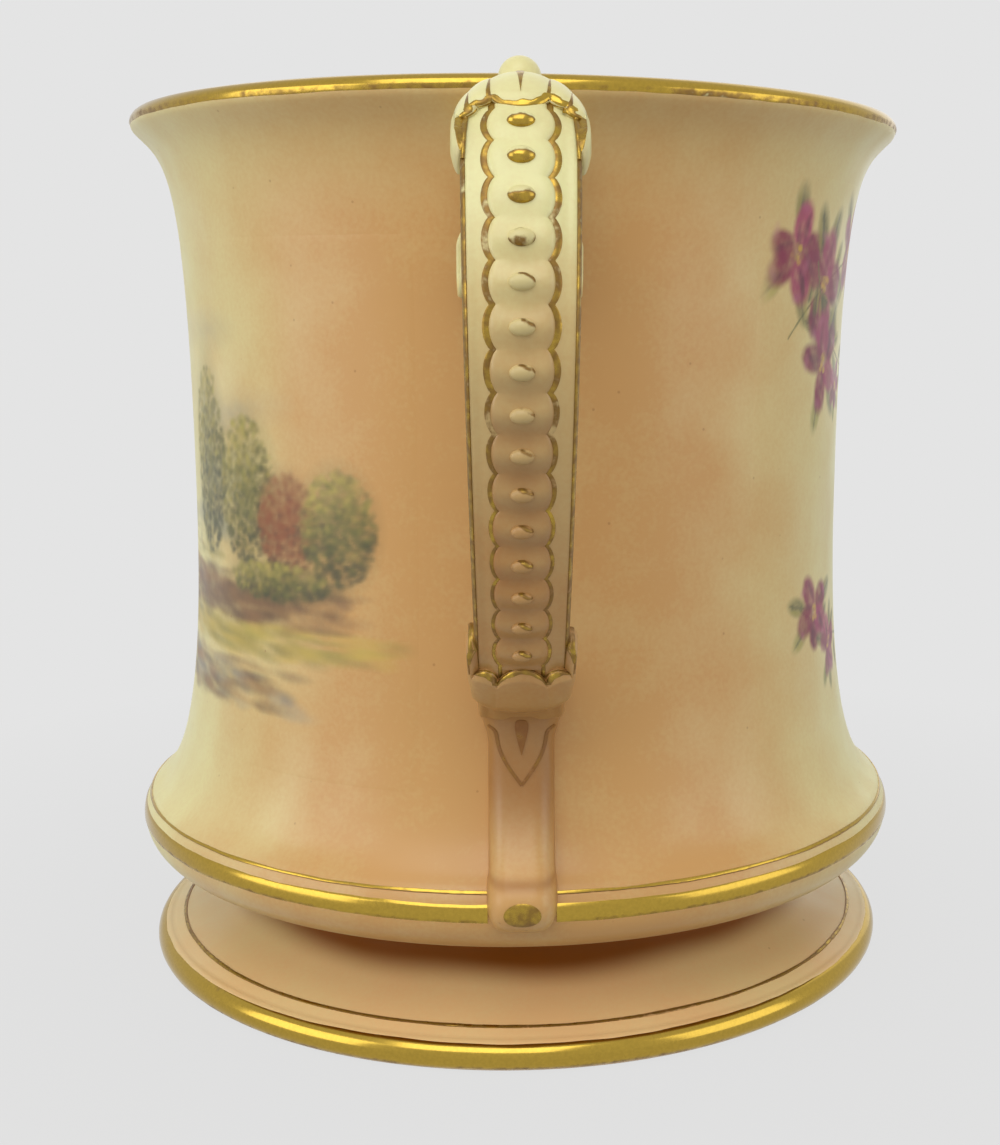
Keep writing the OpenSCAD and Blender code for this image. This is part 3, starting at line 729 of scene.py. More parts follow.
class CUP_OT_gilt_rings(bpy.types.Operator):
    """Gilt lines and bands round the rim, the shoulder and the foot"""

    bl_idname = "cup.gilt_rings"
    bl_label = "Gilt rings"

    def execute(self, context):
        cup, handle = sizes()
        bowl = Bowl(cup)
        lift = 0.8 * cup.gilt
        whole = [(0, 360)]
        break_angle = np.degrees(np.arcsin((handle.tail_width / 2 + 0.1 * MM) / cup.shoulder_radius))
        broken = [(break_angle, 180 - break_angle), (180 + break_angle, 360 - break_angle)]

        def round_edge(centre, radius, start, stop):
            """Outline on a circle between two angles."""
            def outline(share):
                normal = direction(start + (stop - start) * share)
                return centre + radius * normal, normal
            return outline

        def straight(start, run):
            """Outline on a straight border."""
            normal = np.array([-run[1], run[0]]) / np.linalg.norm(run)
            def outline(share):
                return start + share[..., None] * run, np.broadcast_to(normal, (*share.shape, 2))
            return outline

        edge = np.array([cup.foot_radius - cup.gilt - cup.foot_edge, cup.foot_edge])
        border = np.array([cup.border_radius, cup.border_height])
        run = edge + cup.foot_edge * direction(90) - border
        run *= cup.line_width / np.linalg.norm(run)
        rings = {
            "rim_gilding": (round_edge(bowl.lip_centre, bowl.lip, -12, 135), whole, 11, 0.03, 1.2),
            "shoulder_gilt_band": (round_edge(bowl.roll_centre, cup.shoulder_roll, *bowl.band),
                                   broken, 21, 0.035, 1.2),
            "shoulder_gilt_line": (round_edge(bowl.roll_centre, cup.shoulder_roll, *bowl.line),
                                   broken, 31, 0.16, 0.95),
            "foot_gilt_line": (straight(border, run), whole, 41, 0.16, 0.72),
            "foot_gilt_band": (round_edge(edge, cup.foot_edge, -45, 64), whole, 51, 0.04, 1.2),
        }
        for name, (outline, spans, seed, wander, level) in rings.items():
            grids, marks = gilt_ring(outline, spans, seed, wander, level, lift)
            closed = spans is whole
            surface(name + "_burnished", [grid[:-1] for grid in grids] if closed else grids,
                    burnished_gilding(), [name], "gilding", wrap=(closed, True), capped=not closed,
                    marks={"gilt": [mark[:-1] for mark in marks] if closed else marks})
        return {"FINISHED"}


# Handles

def handle():
    """The handle's lines, from the sizes."""
    return Handle(*sizes())


def handle_tint(points):
    """Apricot on a handle: none at the top, more and more towards the tail."""
    drift = patchy(points, 9, 13)
    fade = 0.55 * smooth(0.106, 0.13, points[..., 2]) + 0.35 * smooth(0.06, 0.112, points[..., 2])
    return np.clip(0.92 - fade + 0.05 * drift, 0, 1)


def handle_grime_and_shade(points):
    """Brown on a handle, part grime and part painted shade of the lower strap: none at the top, most at
    the middle of the lower half, cloudy.
    """
    drift = patchy(points, 6, 17)
    height = points[..., 2]
    worn = 0.38 * (1 - smooth(0.092, 0.124, height)) - 0.08 * (1 - smooth(0.06, 0.075, height))
    return np.clip(worn + 0.06 * drift, 0, 1)


class CUP_OT_straps(bpy.types.Operator):
    """Strap of each handle: a rounded oblong section with dished margins, carried along the face"""

    bl_idname = "cup.straps"
    bl_label = "Handle straps"

    def execute(self, context):
        cup, _ = sizes()
        bowl = Bowl(cup)
        strap = handle()
        along = joined(np.linspace(strap.at[0], strap.arm_at, 24), np.linspace(strap.arm_at, 0, 20),
                       np.linspace(0, strap.foot_at + 1 * MM, 170))[:, None]
        grid = strap.on_girth(along, strap.even_angles(88)[None, :], np.zeros((1, 1)))
        # The arm's rows are drawn out so that its end lies inside the bowl's wall all round
        wall = bowl.radius(np.minimum(grid[..., 2], bowl.upper[-1, 1])) - 0.4 * cup.wall
        wall = np.sqrt(wall ** 2 - grid[..., 0] ** 2)
        share = np.clip((-grid[..., 1] - strap.arm_start) / (strap.crook - strap.arm_start), 0, 1)
        on_arm = along < strap.arm_at
        grid[..., 1] = np.where(on_arm, -(wall * (1 - share) + strap.crook * share), grid[..., 1])
        # Its end under the cuff takes on the tail's brown
        end = smooth(strap.foot_at - 8 * MM, strap.foot_at - 5 * MM, along)
        # The handle's brown, part grime and part painted shade, grows lower down the strap
        lower = smooth(0.1, 0.07, grid[..., 2])
        brown_and_shade = np.maximum((0.55 + 0.2 * lower) * handle_grime_and_shade(grid), 0.42 * end)
        on_both_handles("handle_strap", [grid], glazed_porcelain(), "ivory_porcelain",
                        marks={"ground": [handle_tint(grid)], "brown_and_shade": [brown_and_shade]})
        return {"FINISHED"}


class Scallops:
    """Outline and relief of the scalloped panel, one scallop to a bead."""

    count = 15

    def __init__(self, strap):
        self.strap = strap
        self.sizes = strap.sizes
        self.top = -0.5 * MM
        self.foot = strap.first_bead + (self.count - 0.35) * self.sizes.pitch
        # One spot to a bead and one past each end; the first few stand a little closer together
        self.order = np.arange(-1, self.count + 1)
        closer = 0.145 * np.clip(1 - self.order / 4.5, 0, 1)
        self.spots = strap.first_bead + (self.order + closer) * self.sizes.pitch

    def phase(self, along):
        """Share of a pitch from the nearest bead, below zero above it."""
        steps = np.interp(along, self.spots, self.order)
        return steps - np.clip(np.round(steps), 0, self.count - 1)

    def half_width(self, along):
        """Half the panel's width: a neck between beads and a round lobe at each."""
        share = np.clip((along - self.strap.first_bead) / ((self.count - 1) * self.sizes.pitch), 0, 1)
        lobe = self.sizes.lobe_top + (self.sizes.lobe_low - self.sizes.lobe_top) * share
        swell = np.clip(1 - (2 * self.phase(along)) ** 2, 0, 1) ** 0.75
        return lobe * (0.77 + 0.23 * swell)

    def height(self, along, share):
        """Height over the strap: a pillow at each bead, parted by curved creases, falling to the
        edge; the share is across the half width."""
        bent = along + 0.7 * MM * (share ** 2 - 0.4)
        pillow = np.cos(np.pi * np.clip(self.phase(bent), -0.5, 0.5)) ** 2
        edge = np.clip(1 - np.abs(share) ** 5, 0, 1) ** 0.6
        crease = 0.16 + 0.44 * smooth(12 * MM, 26 * MM, along)
        return self.sizes.panel * edge * (1 - crease * (1 - pillow))


class CUP_OT_panels(bpy.types.Operator):
    """Scalloped panel of each handle: soft pillows with creases between them"""

    bl_idname = "cup.panels"
    bl_label = "Scalloped panels"

    def execute(self, context):
        strap = handle()
        scallops = Scallops(strap)
        along = np.linspace(scallops.top, scallops.foot, 420)[:, None]
        share = np.linspace(-1, 1, 35)[None, :]
        half = scallops.half_width(along)
        rise = scallops.height(along, share) + 0.01 * MM
        grid = film(strap.on_face, along, half * share, rise, 0.3 * MM)
        # Brown, part grime and part painted shade, deepened as painted shade in the creases between the
        # pillows and towards the panel's edges
        low = 1 - scallops.height(along, share) / strap.sizes.panel
        soil_and_shade = handle_grime_and_shade(grid) * (1 + 0.8 * np.concatenate([low, low], 1))
        on_both_handles("scalloped_panel", [grid], glazed_porcelain(), "ivory_porcelain",
                        marks={"ground": [handle_tint(grid)], "brown_and_shade": [np.clip(soil_and_shade, 0, 0.75)]})
        return {"FINISHED"}


class CUP_OT_beads(bpy.types.Operator):
    """Row of beads of each handle: oval domes, gilt at the top, rubbed lower down"""

    bl_idname = "cup.beads"
    bl_label = "Beads"

    def execute(self, context):
        strap = handle()
        scallops = Scallops(strap)
        size = strap.sizes
        fall = np.linspace(0.03, 0.62 * np.pi, 12)[:, None]
        turn = np.linspace(0, 2 * np.pi, 28, endpoint=False)[None, :]
        # Gold is left on the lower half of the first beads and as a crescent on the rest. The first
        # beads' bare pale tops are partly rubbing and partly a painted pale reflection
        right = np.sin(fall) * np.cos(turn)
        down = np.sin(fall) * np.sin(turn)
        half = 0.2 + 0.66 * smooth(-0.3, 0.35, down)
        crescent = np.exp(-((0.6 * right - 0.8 * down - 0.74) / 0.22) ** 2)
        grids = []
        marks = []
        for index, middle in enumerate(scallops.spots[1:-1]):
            shrink = 1 - 0.22 * index / (scallops.count - 1)
            across = size.bead * shrink * np.sin(fall) * np.cos(turn)
            along = middle + 0.66 * size.bead * shrink * np.sin(fall) * np.sin(turn)
            rise = size.panel + size.bead_height * shrink * np.cos(fall) + 0 * turn
            grids.append(strap.on_face(along, across, rise))
            fresh = 1 - smooth(1.6, 4.2, index)
            rest = 0.2 + (0.34 + 0.16 * smooth(7, 13, index)) * crescent
            marks.append(fresh * half + (1 - fresh) * rest)
        on_both_handles("beads", grids, burnished_gilding(), "gilding", marks={"gilt": marks})
        return {"FINISHED"}


class CUP_OT_strap_gilding(bpy.types.Operator):
    """Gilt lines of each handle: along both scalloped edges and over both corners of the strap"""

    bl_idname = "cup.strap_gilding"
    bl_label = "Strap gilding"

    def execute(self, context):
        strap = handle()
        scallops = Scallops(strap)
        size = strap.sizes
        along = np.linspace(scallops.top, scallops.foot + 2.5 * MM, 460)[:, None]
        share = np.linspace(0, 1, 7)[None, :]
        dome = 0.07 * MM * np.clip(1 - (2 * share - 1) ** 4, 0, 1)
        grids = []
        marks = []
        rub = ripple([along / (4 * MM), along / (11 * MM)], 61, 6)
        middle = smooth(18 * MM, 32 * MM, along) * (1 - smooth(52 * MM, 70 * MM, along))
        kept = np.clip(0.64 - 0.06 * middle + 0.14 * rub, 0, 1.2)
        breadth = size.trace * (1 - 0.4 * smooth(30 * MM, 62 * MM, along))
        for side in (1, -1):
            inner = scallops.half_width(along) - 0.12 * MM
            across = side * (inner + share * breadth)
            grids.append(film(strap.on_face, along, across, dome + 0.04 * MM, 0.2 * MM))
            marks.append(np.broadcast_to(kept, (len(along), 14)))
        on_both_handles("panel_gilding", grids, burnished_gilding(), "gilding", marks={"gilt": marks})
        along = np.linspace(2 * MM, strap.foot_at - 9 * MM, 240)[:, None]
        grids = []
        marks = []
        rub = ripple([along / (5 * MM), along / (14 * MM)], 71, 6)
        for side in (0, 1):
            angle = np.radians(np.linspace(38, 3, 9))[None, :]
            angle = angle if side == 0 else np.pi - angle
            grids.append(film(strap.on_girth, along, angle, 0.09 * MM, 0.1 * MM))
            marks.append(np.clip(0.57 + 0.1 * rub + np.zeros((1, 18)), 0, 1.2))
        on_both_handles("edge_gilding", grids, burnished_gilding(), "gilding", marks={"gilt": marks})
        return {"FINISHED"}


class Leaves:
    """A leaf cuff round the strap: lobes at distances round the section, each a round-ended leaf.
    A lobe is (distance off the middle, distance along to its centre, radius). The cuff runs from
    the lobes' edge to its back, which is level or, with a tongue, round like half an oval.
    Grooves, from 0 to 1, is how deep the lobes are parted."""

    def __init__(self, strap, lobes, back, tongue, floor, toward, grooves):
        self.strap = strap
        self.lobes = np.array(lobes) * MM
        self.back_middle = back
        self.tongue = tongue
        self.floor = floor
        self.toward = toward
        self.grooves = grooves

    def edge(self, girth):
        """Distance along the strap of the cuff's leaf edge, the furthest of the lobes' rounds."""
        off = np.abs(girth)[..., None] - self.lobes[:, 0]
        inside = self.lobes[:, 2] ** 2 - off ** 2
        ends = self.lobes[:, 1] + self.toward * np.sqrt(np.clip(inside, 0, None))
        ends = np.where(inside > 0, ends, self.floor)
        return ends.max(-1) if self.toward > 0 else ends.min(-1)

    def back(self, girth):
        """Distance along the strap of the cuff's other end."""
        oval = np.sqrt(np.clip(1 - (girth / (7.4 * MM)) ** 2, 0, 1))
        return self.back_middle + self.toward * self.tongue * (1 - oval)

    def pillow(self, girth):
        """Swelling of the lobes, with grooves between them."""
        off = (np.abs(girth)[..., None] - self.lobes[:, 0]) / self.lobes[:, 2]
        return 1 - self.grooves * (1 - np.sqrt(np.clip(1 - off ** 2, 0, 1)).max(-1))

    def skin(self, along, girth, lift):
        """Point on the cuff at a distance along and round the strap, lifted off it."""
        edge = self.edge(girth)
        share = np.clip((along - edge) / (self.back(girth) - edge), 0, 1)
        rise = np.clip(share / 0.16, 0, 1) ** 0.5 * (1 - 0.85 * np.clip((share - 0.7) / 0.3, 0, 1) ** 2)
        grow = self.strap.sizes.cuff * (0.2 + rise * (0.3 + 0.48 * self.pillow(girth)))
        return self.strap.on_girth(along, self.strap.girth_angle(girth), grow + lift)

    def ribbon(self, line, wide, thick):
        """A gilt ribbon on the right of a line of (girth, along) points, or on its left where the
        width is below zero."""
        share = np.linspace(0, 1, 6)
        path = line[:, None, :] + right_of(line)[:, None, :] * (wide[:, None] * share)[..., None]
        dome = 0.03 * MM + thick * np.clip(1 - (2 * share - 1) ** 4, 0, 1)
        return film(self.skin, path[..., 1], path[..., 0], dome, 0.15 * MM)


def upper_leaves(strap):
    """Cuff at the top: a middle leaf and three on each side that step down the arch."""
    lobes = [(0, -1.0, 3.9), (4.6, -0.2, 1.7), (6.5, 1.4, 1.25), (9.9, 7.6, 2.9)]
    return Leaves(strap, lobes, strap.arm_at - 4 * MM, 0, -1.5 * MM, 1, 1)


def lower_leaves(strap):
    """Cuff at the lower end: a tongue under a wide middle leaf, and leaves up the strap's sides."""
    foot = strap.foot_at / MM
    lobes = [(0, foot - 7.6, 4.0), (5.9, foot - 8.8, 2.3), (9.4, foot - 14.4, 2.3)]
    return Leaves(strap, lobes, strap.foot_at - 1.4 * MM, 4.5 * MM, strap.foot_at - 7 * MM, -1, 0.25)


class CUP_OT_cuffs(bpy.types.Operator):
    """Leaf cuffs at both ends of each strap, with gilt edges and gilt grooves"""

    bl_idname = "cup.cuffs"
    bl_label = "Leaf cuffs"

    def execute(self, context):
        strap = handle()
        trace = strap.sizes.trace
        girth = np.linspace(strap.girth[0], strap.girth[-1], 240, endpoint=False)[None, :]
        share = np.linspace(0, 1, 40)[:, None] ** 1.5
        gilt = []
        kept = []
        for name, leaves, reach, grooves, level, thick in (
                ("upper_cuff", upper_leaves(strap), 6.95, (3.3, 5.6), 0.78, 0.92),
                ("lower_cuff", lower_leaves(strap), 11.2, (), 0.62, 0.55)):
            edge = leaves.edge(girth)
            along = edge + (leaves.back(girth) - edge) * share
            outer = leaves.skin(along, girth + 0 * along, 0)
            sunk = np.full((1, 1), -0.3 * MM)
            first = strap.on_girth(edge, strap.girth_angle(girth), sunk)
            last = strap.on_girth(leaves.back(girth), strap.girth_angle(girth), sunk)
            grid = np.concatenate([first, outer, last])
            # Painted shade in the grooves between the lobes and along the leaf edge, over the handle's
            # brown of grime and shade
            hollow = 0.3 * (1 - leaves.pillow(girth)) ** 2 + 0.25 * (1 - smooth(0, 0.1, share))
            soil_and_shade = np.clip(0.8 * handle_grime_and_shade(outer) + hollow, 0, 0.8)
            soil_and_shade = np.concatenate([soil_and_shade[:1], soil_and_shade, soil_and_shade[-1:]])
            on_both_handles(name, [grid], glazed_porcelain(), "ivory_porcelain", wrap=(True, True),
                            capped=False, marks={"ground": [handle_tint(grid)], "brown_and_shade": [soil_and_shade]})
            sweep = np.linspace(-reach, reach, 1200) * MM
            line = spaced(np.stack([sweep, leaves.edge(sweep)], -1), 520)
            rub = ripple([line[:, 0] / (1.1 * MM), line[:, 1] / (1.6 * MM)], 81, 5)
            wide = thick * trace * (1 + 0.32 * rub)
            gilt.append(leaves.ribbon(line, leaves.toward * wide, 0.07 * MM))
            kept.append(np.clip(level + 0.16 * rub[:, None] + np.zeros((1, 12)), 0, 1.2))
            run = np.linspace(0, 1, 40)
            for side in (-1, 1):
                for groove in grooves:
                    start = leaves.edge(np.array(groove * MM))
                    line = np.stack([side * groove * MM + 0 * run,
                                     start - leaves.toward * 5 * MM * run], -1)
                    gilt.append(leaves.ribbon(line, (0.55 - 0.45 * run) * MM, 0.05 * MM))
                    kept.append(np.full((40, 12), 0.66))
        # A wedge down the top's middle leaf, and a line down each corner of the strap below it
        leaves = upper_leaves(strap)
        line = np.stack([0.45 * (1 - run) * MM, strap.arm_at + 1.5 * MM + 5.5 * MM * run], -1)
        gilt.append(leaves.ribbon(line, -0.9 * (1.02 - run) * MM, 0.06 * MM))
        for side in (-1, 1):
            line = np.stack([side * (7.0 + 0.3 * run) * MM, (2.0 + 8.0 * run) * MM], -1)
            gilt.append(leaves.ribbon(line, -side * (0.65 - 0.25 * run) * MM, 0.06 * MM))
        kept += 3 * [np.full((40, 12), 0.7)]
        on_both_handles("cuff_gilding", gilt, burnished_gilding(), "gilding", marks={"gilt": kept})
        return {"FINISHED"}


class CUP_OT_knobs(bpy.types.Operator):
    """Knob beside the rim on each arm: a ball with a short waist, turned round its own axis"""

    bl_idname = "cup.knobs"
    bl_label = "Rim knobs"

    def execute(self, context):
        cup, size = sizes()
        strap = handle()
        centre = cup.rim_radius + size.knob + size.knob_gap
        ball = arc([0, strap.arm + 0.6 * size.knob], size.knob, -30, 90, 30)
        skirt = np.array([[0.86 * size.knob, strap.arm - 0.6 * MM]])
        grid = revolved(np.concatenate([skirt, ball]), 48)
        grid[..., 1] -= centre
        # Painted shade: brown round the knob's foot, where it meets the arm
        on_both_handles("rim_knob", [grid], glazed_porcelain(), "ivory_porcelain",
                        marks={"ground": [np.full(grid.shape[:2], 0.1)],
                               "brown_and_shade": [0.45 * (1 - smooth(0, 1.6 * MM, grid[..., 2] - strap.arm))]})
        return {"FINISHED"}


class CUP_OT_scrolls(bpy.types.Operator):
    """Scroll under each arm: a band that runs down the bowl's wall and curls outwards"""

    bl_idname = "cup.scrolls"
    bl_label = "Scrolls"

    def execute(self, context):
        cup, size = sizes()
        bowl = Bowl(cup)
        strap = handle()
        under = strap.arm - size.thickness
        height = strap.arm - size.scroll_drop
        centre = np.array([bowl.radius(height) + 1.14 * size.scroll, height])
        turn = np.linspace(180, 560, 120)
        spread = size.scroll * (0.72 - 0.52 * (turn - 180) / 380)
        curl = centre + spread[:, None] * direction(turn)
        lead = bezier([[bowl.radius(under) + 1.1 * size.scroll, under + 1 * MM],
                       [bowl.radius(under - 5 * MM) + 0.5 * size.scroll, under - 5 * MM],
                       [curl[0, 0], curl[0, 1] + 6 * MM], curl[0]], 60)
        line = spaced(joined(lead, curl), 170)
        side = right_of(line)
        at = np.linspace(0, 1, len(line))[:, None]
        half = (size.web_width + (size.scroll_width - size.web_width) * smooth(0.25, 0.5, at)) / 2
        half = half * (1 - 0.1 * smooth(0.6, 1, at))
        thick = size.scroll * (0.3 - 0.06 * at)
        round_it = np.linspace(0, 2 * np.pi, 44, endpoint=False)[None, :]
        across, out = strap.shape(round_it, half, thick)
        middle = line[:, None, :] + side[:, None, :] * out[..., None]
        grid = np.stack([across, -middle[..., 0], middle[..., 1]], -1)
        core_line = np.stack([np.full(24, centre[0]), np.full(24, centre[1])], -1)
        wide = np.linspace(-0.44, 0.44, 24) * size.scroll_width
        swell = 0.62 * size.scroll * np.sqrt(np.clip(1 - (np.abs(wide) / wide.max()) ** 8, 0.02, 1))
        ring = direction(np.linspace(0, 360, 40, endpoint=False))
        core = core_line[:, None, :] + swell[:, None, None] * ring[None, :, :]
        core = np.stack([wide[:, None] + 0 * core[..., 0], -core[..., 0], core[..., 1]], -1)
        tint = [np.full(part.shape[:2], 0.12) for part in (grid, core)]
        on_both_handles("scroll", [grid, core], glazed_porcelain(), "blush_porcelain",
                        marks={"ground": tint})
        return {"FINISHED"}


class Tail:
    """The tail's outer line from under the strap's end, down the bowl and round the toe."""

    bend_angle = 50
    nook_count = 30
    front_count = 120

    def __init__(self, cup, strap):
        size = strap.sizes
        self.size = size
        self.bowl = Bowl(cup)
        self.toe = np.array([cup.shoulder_radius + size.toe / 9,
                             cup.shoulder_height + 0.68 * size.toe])
        gap = strap.foot_point[0] - cup.waist_radius
        front = bezier([strap.foot_point, strap.foot_point + 0.61 * gap * direction(strap.end - 90),
                        [cup.waist_radius + 0.63 * gap, self.toe[1] + 2.39 * size.toe],
                        self.toe + size.toe * direction(self.bend_angle)], self.front_count)
        inner = strap.foot_point - size.thickness * direction(strap.end)
        top = inner[1] + 2.2 * MM
        nook = bezier([[self.bowl.radius(top) - 0.5 * MM, top], inner + [-1.6 * MM, 0.4 * MM],
                       inner + [1.5 * MM, -1.5 * MM], strap.foot_point], self.nook_count)
        self.line = joined(nook, front, arc(self.toe, size.toe, self.bend_angle, -130, 70))
        self.at = travelled(self.line)
        self.nook = self.at[self.nook_count - 1]
        self.bend = self.at[self.nook_count + self.front_count - 2]

    def half_width(self, along):
        """Half the width: as wide as the strap at the top, even down the bowl, round at the toe."""
        flare = (self.size.low_width - self.size.tail_width) / 2
        level = self.size.tail_width / 2 + flare * (1 - smooth(0, 6.5 * MM, along - self.nook))
        turned = self.bend_angle - np.degrees((along - self.bend) / self.size.toe)
        under = np.clip((2 - turned) / 92, 0, 1)
        bulge = 1 + 0.05 * smooth(0, 2 * MM, along - self.bend)
        return level * bulge * np.sqrt(1 - 0.96 * under ** 2)

    def place(self, along, across, lift):
        """Point at a distance along the outer line and across it. The section falls from the
        outer line to the bowl's wall at its edges."""
        radius = np.interp(along, self.at, self.line[:, 0])
        height = np.interp(along, self.at, self.line[:, 1])
        across = across + 0 * along
        wall = np.sqrt((self.bowl.radius(height) - 0.4 * MM) ** 2 - across ** 2)
        crown = np.clip(1 - np.abs(across / self.half_width(along)) ** 4, 0, 1) ** 0.42
        out = wall + (radius - wall) * crown + lift
        return np.stack([across, -out, height + 0 * out], -1)

    def gilt(self, along, across):
        """A thin gilt ribbon over points of the tail's face."""
        return film(self.place, along, across, 0.1 * MM, 0.12 * MM)


class CUP_OT_tails(bpy.types.Operator):
    """Tail of each handle down the bowl to its round toe, and its gilt leaf, drop and button"""

    bl_idname = "cup.tails"
    bl_label = "Tails"

    def execute(self, context):
        cup, size = sizes()
        tail = Tail(cup, handle())
        along = np.linspace(0, tail.at[-1], 170)[:, None]
        share = np.sin(np.linspace(-np.pi / 2, np.pi / 2, 41))[None, :]
        outer = tail.place(along, tail.half_width(along) * share, 0)
        inner = outer[:, ::-1].copy()
        wall = np.sqrt((tail.bowl.radius(inner[..., 2]) - 0.8 * MM) ** 2 - inner[..., 0] ** 2)
        inner[..., 1] = -wall
        grid = np.concatenate([outer, inner[:, 1:-1]], 1)
        drift = patchy(grid, 7, 91)
        tint = np.clip(0.88 + 0.1 * drift, 0, 1)
        # Brown gathers under the cuff, fades down the tail and lines the bend; down both sides, where
        # the tail meets the bowl's wall, it is painted shade and a brown line
        faded = 0.68 * (1 - smooth(11 * MM, 26 * MM, along - tail.nook))
        bend = 0.5 * np.exp(-((along - tail.bend) / (1.1 * MM)) ** 2)
        soil_and_shade = np.maximum(faded + bend, 0.5 * smooth(0.86, 1, np.abs(share)))
        soil_and_shade = np.concatenate([soil_and_shade, soil_and_shade[:, -2:0:-1]], 1)
        on_both_handles("tail", [grid], glazed_porcelain(), "blush_porcelain",
                        marks={"ground": [tint], "brown_and_shade": [np.clip(soil_and_shade, 0, 0.8)]})

        # Each half of the leaf is a short hook and a curve to its tip, in millimetres across and along
        wide = np.linspace(-1, 1, 5)[None, :]
        run = np.linspace(0, 1, 60)[:, None]
        grids = []
        for side in (-1, 1):
            hook = bezier([[4.9, 2.6], [4.2, 3.0], [3.7, 3.0], [3.6, 4.4]], 20)
            leaf = bezier([[3.6, 4.4], [3.3, 7.4], [1.5, 9.4], [0, 11.5]], 50)
            line = spaced(joined(hook, leaf), 60) * MM
            breadth = wide * (0.28 - 0.05 * run) * MM
            path = line[:, None, :] + right_of(line)[:, None, :] * breadth[..., None]
            grids.append(tail.gilt(tail.nook + path[..., 1], side * path[..., 0]))
        # The drop is widest near its top, and the button is an oval on the toe's nose
        at = tail.nook + (1.0 + 6.0 * run) * MM + 0 * wide
        grids.append(tail.gilt(at, wide * (0.95 * np.sin(np.pi * run ** 0.45) ** 0.9 + 0.03) * MM))
        disc = np.linspace(0.02, 1, 12)[:, None]
        spin = np.linspace(0, 2 * np.pi, 40, endpoint=False)[None, :]
        nose = tail.bend + size.toe * np.radians(tail.bend_angle + 8)
        oval = tail.place(nose + 0.36 * size.button * disc * np.sin(spin),
                          size.button / 2 * disc * np.cos(spin),
                          0.05 * MM + 0.14 * MM * np.sqrt(np.clip(1.02 - disc ** 2, 0, 1)))
        grids.append(oval)
        # Only a brown trace of the gold is left on the leaf and drop, and more of it on the button
        kept = [np.full(part.shape[:2], level) for part, level in zip(grids, (0.56, 0.56, 0.58, 0.68))]
        brown = [np.full(part.shape[:2], level) for part, level in zip(grids, (0.5, 0.5, 0.66, 0))]
        on_both_handles("tail_gilding", grids, burnished_gilding(), "gilding",
                        marks={"gilt": kept, "brown_and_shade": brown})
        return {"FINISHED"}


# Painting in enamels

GREENS = ("pine", "olive", "moss", "lime")


class Canvas:
    """A patch of the bowl's wall between two azimuths and two heights, painted in enamels.
    Marks are laid one over another; the colour is kept multiplied by its cover."""

    def __init__(self, bowl, middle, half_turn, low, high, step, seed):
        self.rng = np.random.default_rng(seed)
        self.middle = middle
        self.scale = bowl.radius(0.08)
        reach = np.radians(half_turn) * self.scale
        self.across = np.arange(-reach, reach, step)
        self.height = np.arange(low, high, step)
        shape = (len(self.height), len(self.across))
        self.bowl = bowl
        self.colour = np.zeros((*shape, 3))
        self.cover = np.zeros(shape)
        a, z = np.meshgrid(self.across / (0.9 * MM), self.height / (0.9 * MM))
        self.grain = 0.5 + 0.5 * np.clip(ripple([a, z], seed + 1, 9), -1, 1)

    def lay(self, rows, columns, cover, colour):
        """Lays a colour over a window of the patch."""
        keep = 1 - cover
        self.colour[rows, columns] = (self.colour[rows, columns] * keep[..., None]
                                      + cover[..., None] * np.asarray(colour))
        self.cover[rows, columns] = self.cover[rows, columns] * keep + cover

    def dab(self, across, height, long, wide, tilt, colour, strength=0.85, soft=0.35):
        """An oval brush mark with a soft edge, thinner where the grain is low."""
        reach = 0.55 * max(long, wide)
        columns = slice(*np.searchsorted(self.across, [across - reach, across + reach]))
        rows = slice(*np.searchsorted(self.height, [height - reach, height + reach]))
        da = self.across[columns][None, :] - across
        dz = self.height[rows][:, None] - height
        turn = np.radians(tilt)
        u = (da * np.cos(turn) + dz * np.sin(turn)) / (long / 2)
        v = (dz * np.cos(turn) - da * np.sin(turn)) / (wide / 2)
        cover = strength * np.clip((1 - np.hypot(u, v)) / soft, 0, 1)
        cover = cover * (0.7 + 0.3 * self.grain[rows, columns])
        shade = self.rng.normal(1, 0.07) * (1 + self.rng.normal(0, 0.03, 3))
        self.lay(rows, columns, cover, np.clip(np.asarray(colour) * shade, 0, 1))

    def wash(self, across, height, long, wide, tilt, colour, strength):
        """A thin wide wash with a very soft edge."""
        self.dab(across, height, long, wide, tilt, colour, strength, soft=0.9)

    def stroke(self, points, width, colour, strength=0.85):
        """A line of close dabs along points of the patch."""
        line = spaced(np.asarray(points, float), max(int(travelled(np.asarray(points))[-1]
                                                         / (0.3 * width)), 3))
        for spot in line:
            self.dab(spot[0], spot[1], 1.3 * width, width, 0, colour, strength, soft=0.6)

    def build(self, name):
        """The patch as a piece that lies on the bowl's wall."""
        turn = np.radians(self.middle) + self.across / self.scale
        sides = np.minimum(self.across - self.across[0], self.across[-1] - self.across)
        ends = np.minimum(self.height - self.height[0], self.height[-1] - self.height)
        inset = np.minimum(sides[None, :], ends[:, None])
        radius = self.bowl.radius(self.height)[:, None] + (0.08 * smooth(0, 2 * MM, inset) - 0.05) * MM
        grid = np.stack([radius * np.sin(turn), -radius * np.cos(turn),
                         self.height[:, None] + 0 * turn[None, :]], -1)
        rgb = self.colour / np.maximum(self.cover, 1e-4)[..., None]
        paint = np.concatenate([rgb, np.ones_like(rgb[..., :1])], -1)
        cover = self.cover * smooth(0, 6 * MM, inset)
        surface(name, [grid], glazed_porcelain(), wrap=(False, False), capped=False,
                marks={"ground": [ground(grid)], "paint": [paint], "cover": [cover]}, sharp=180)


def paints():
    """Enamel colours of the painter's palette, linear."""
    group = bpy.context.scene.paint_colours
    return {key: np.array(getattr(group, key)) for key in PaintColours.__annotations__}


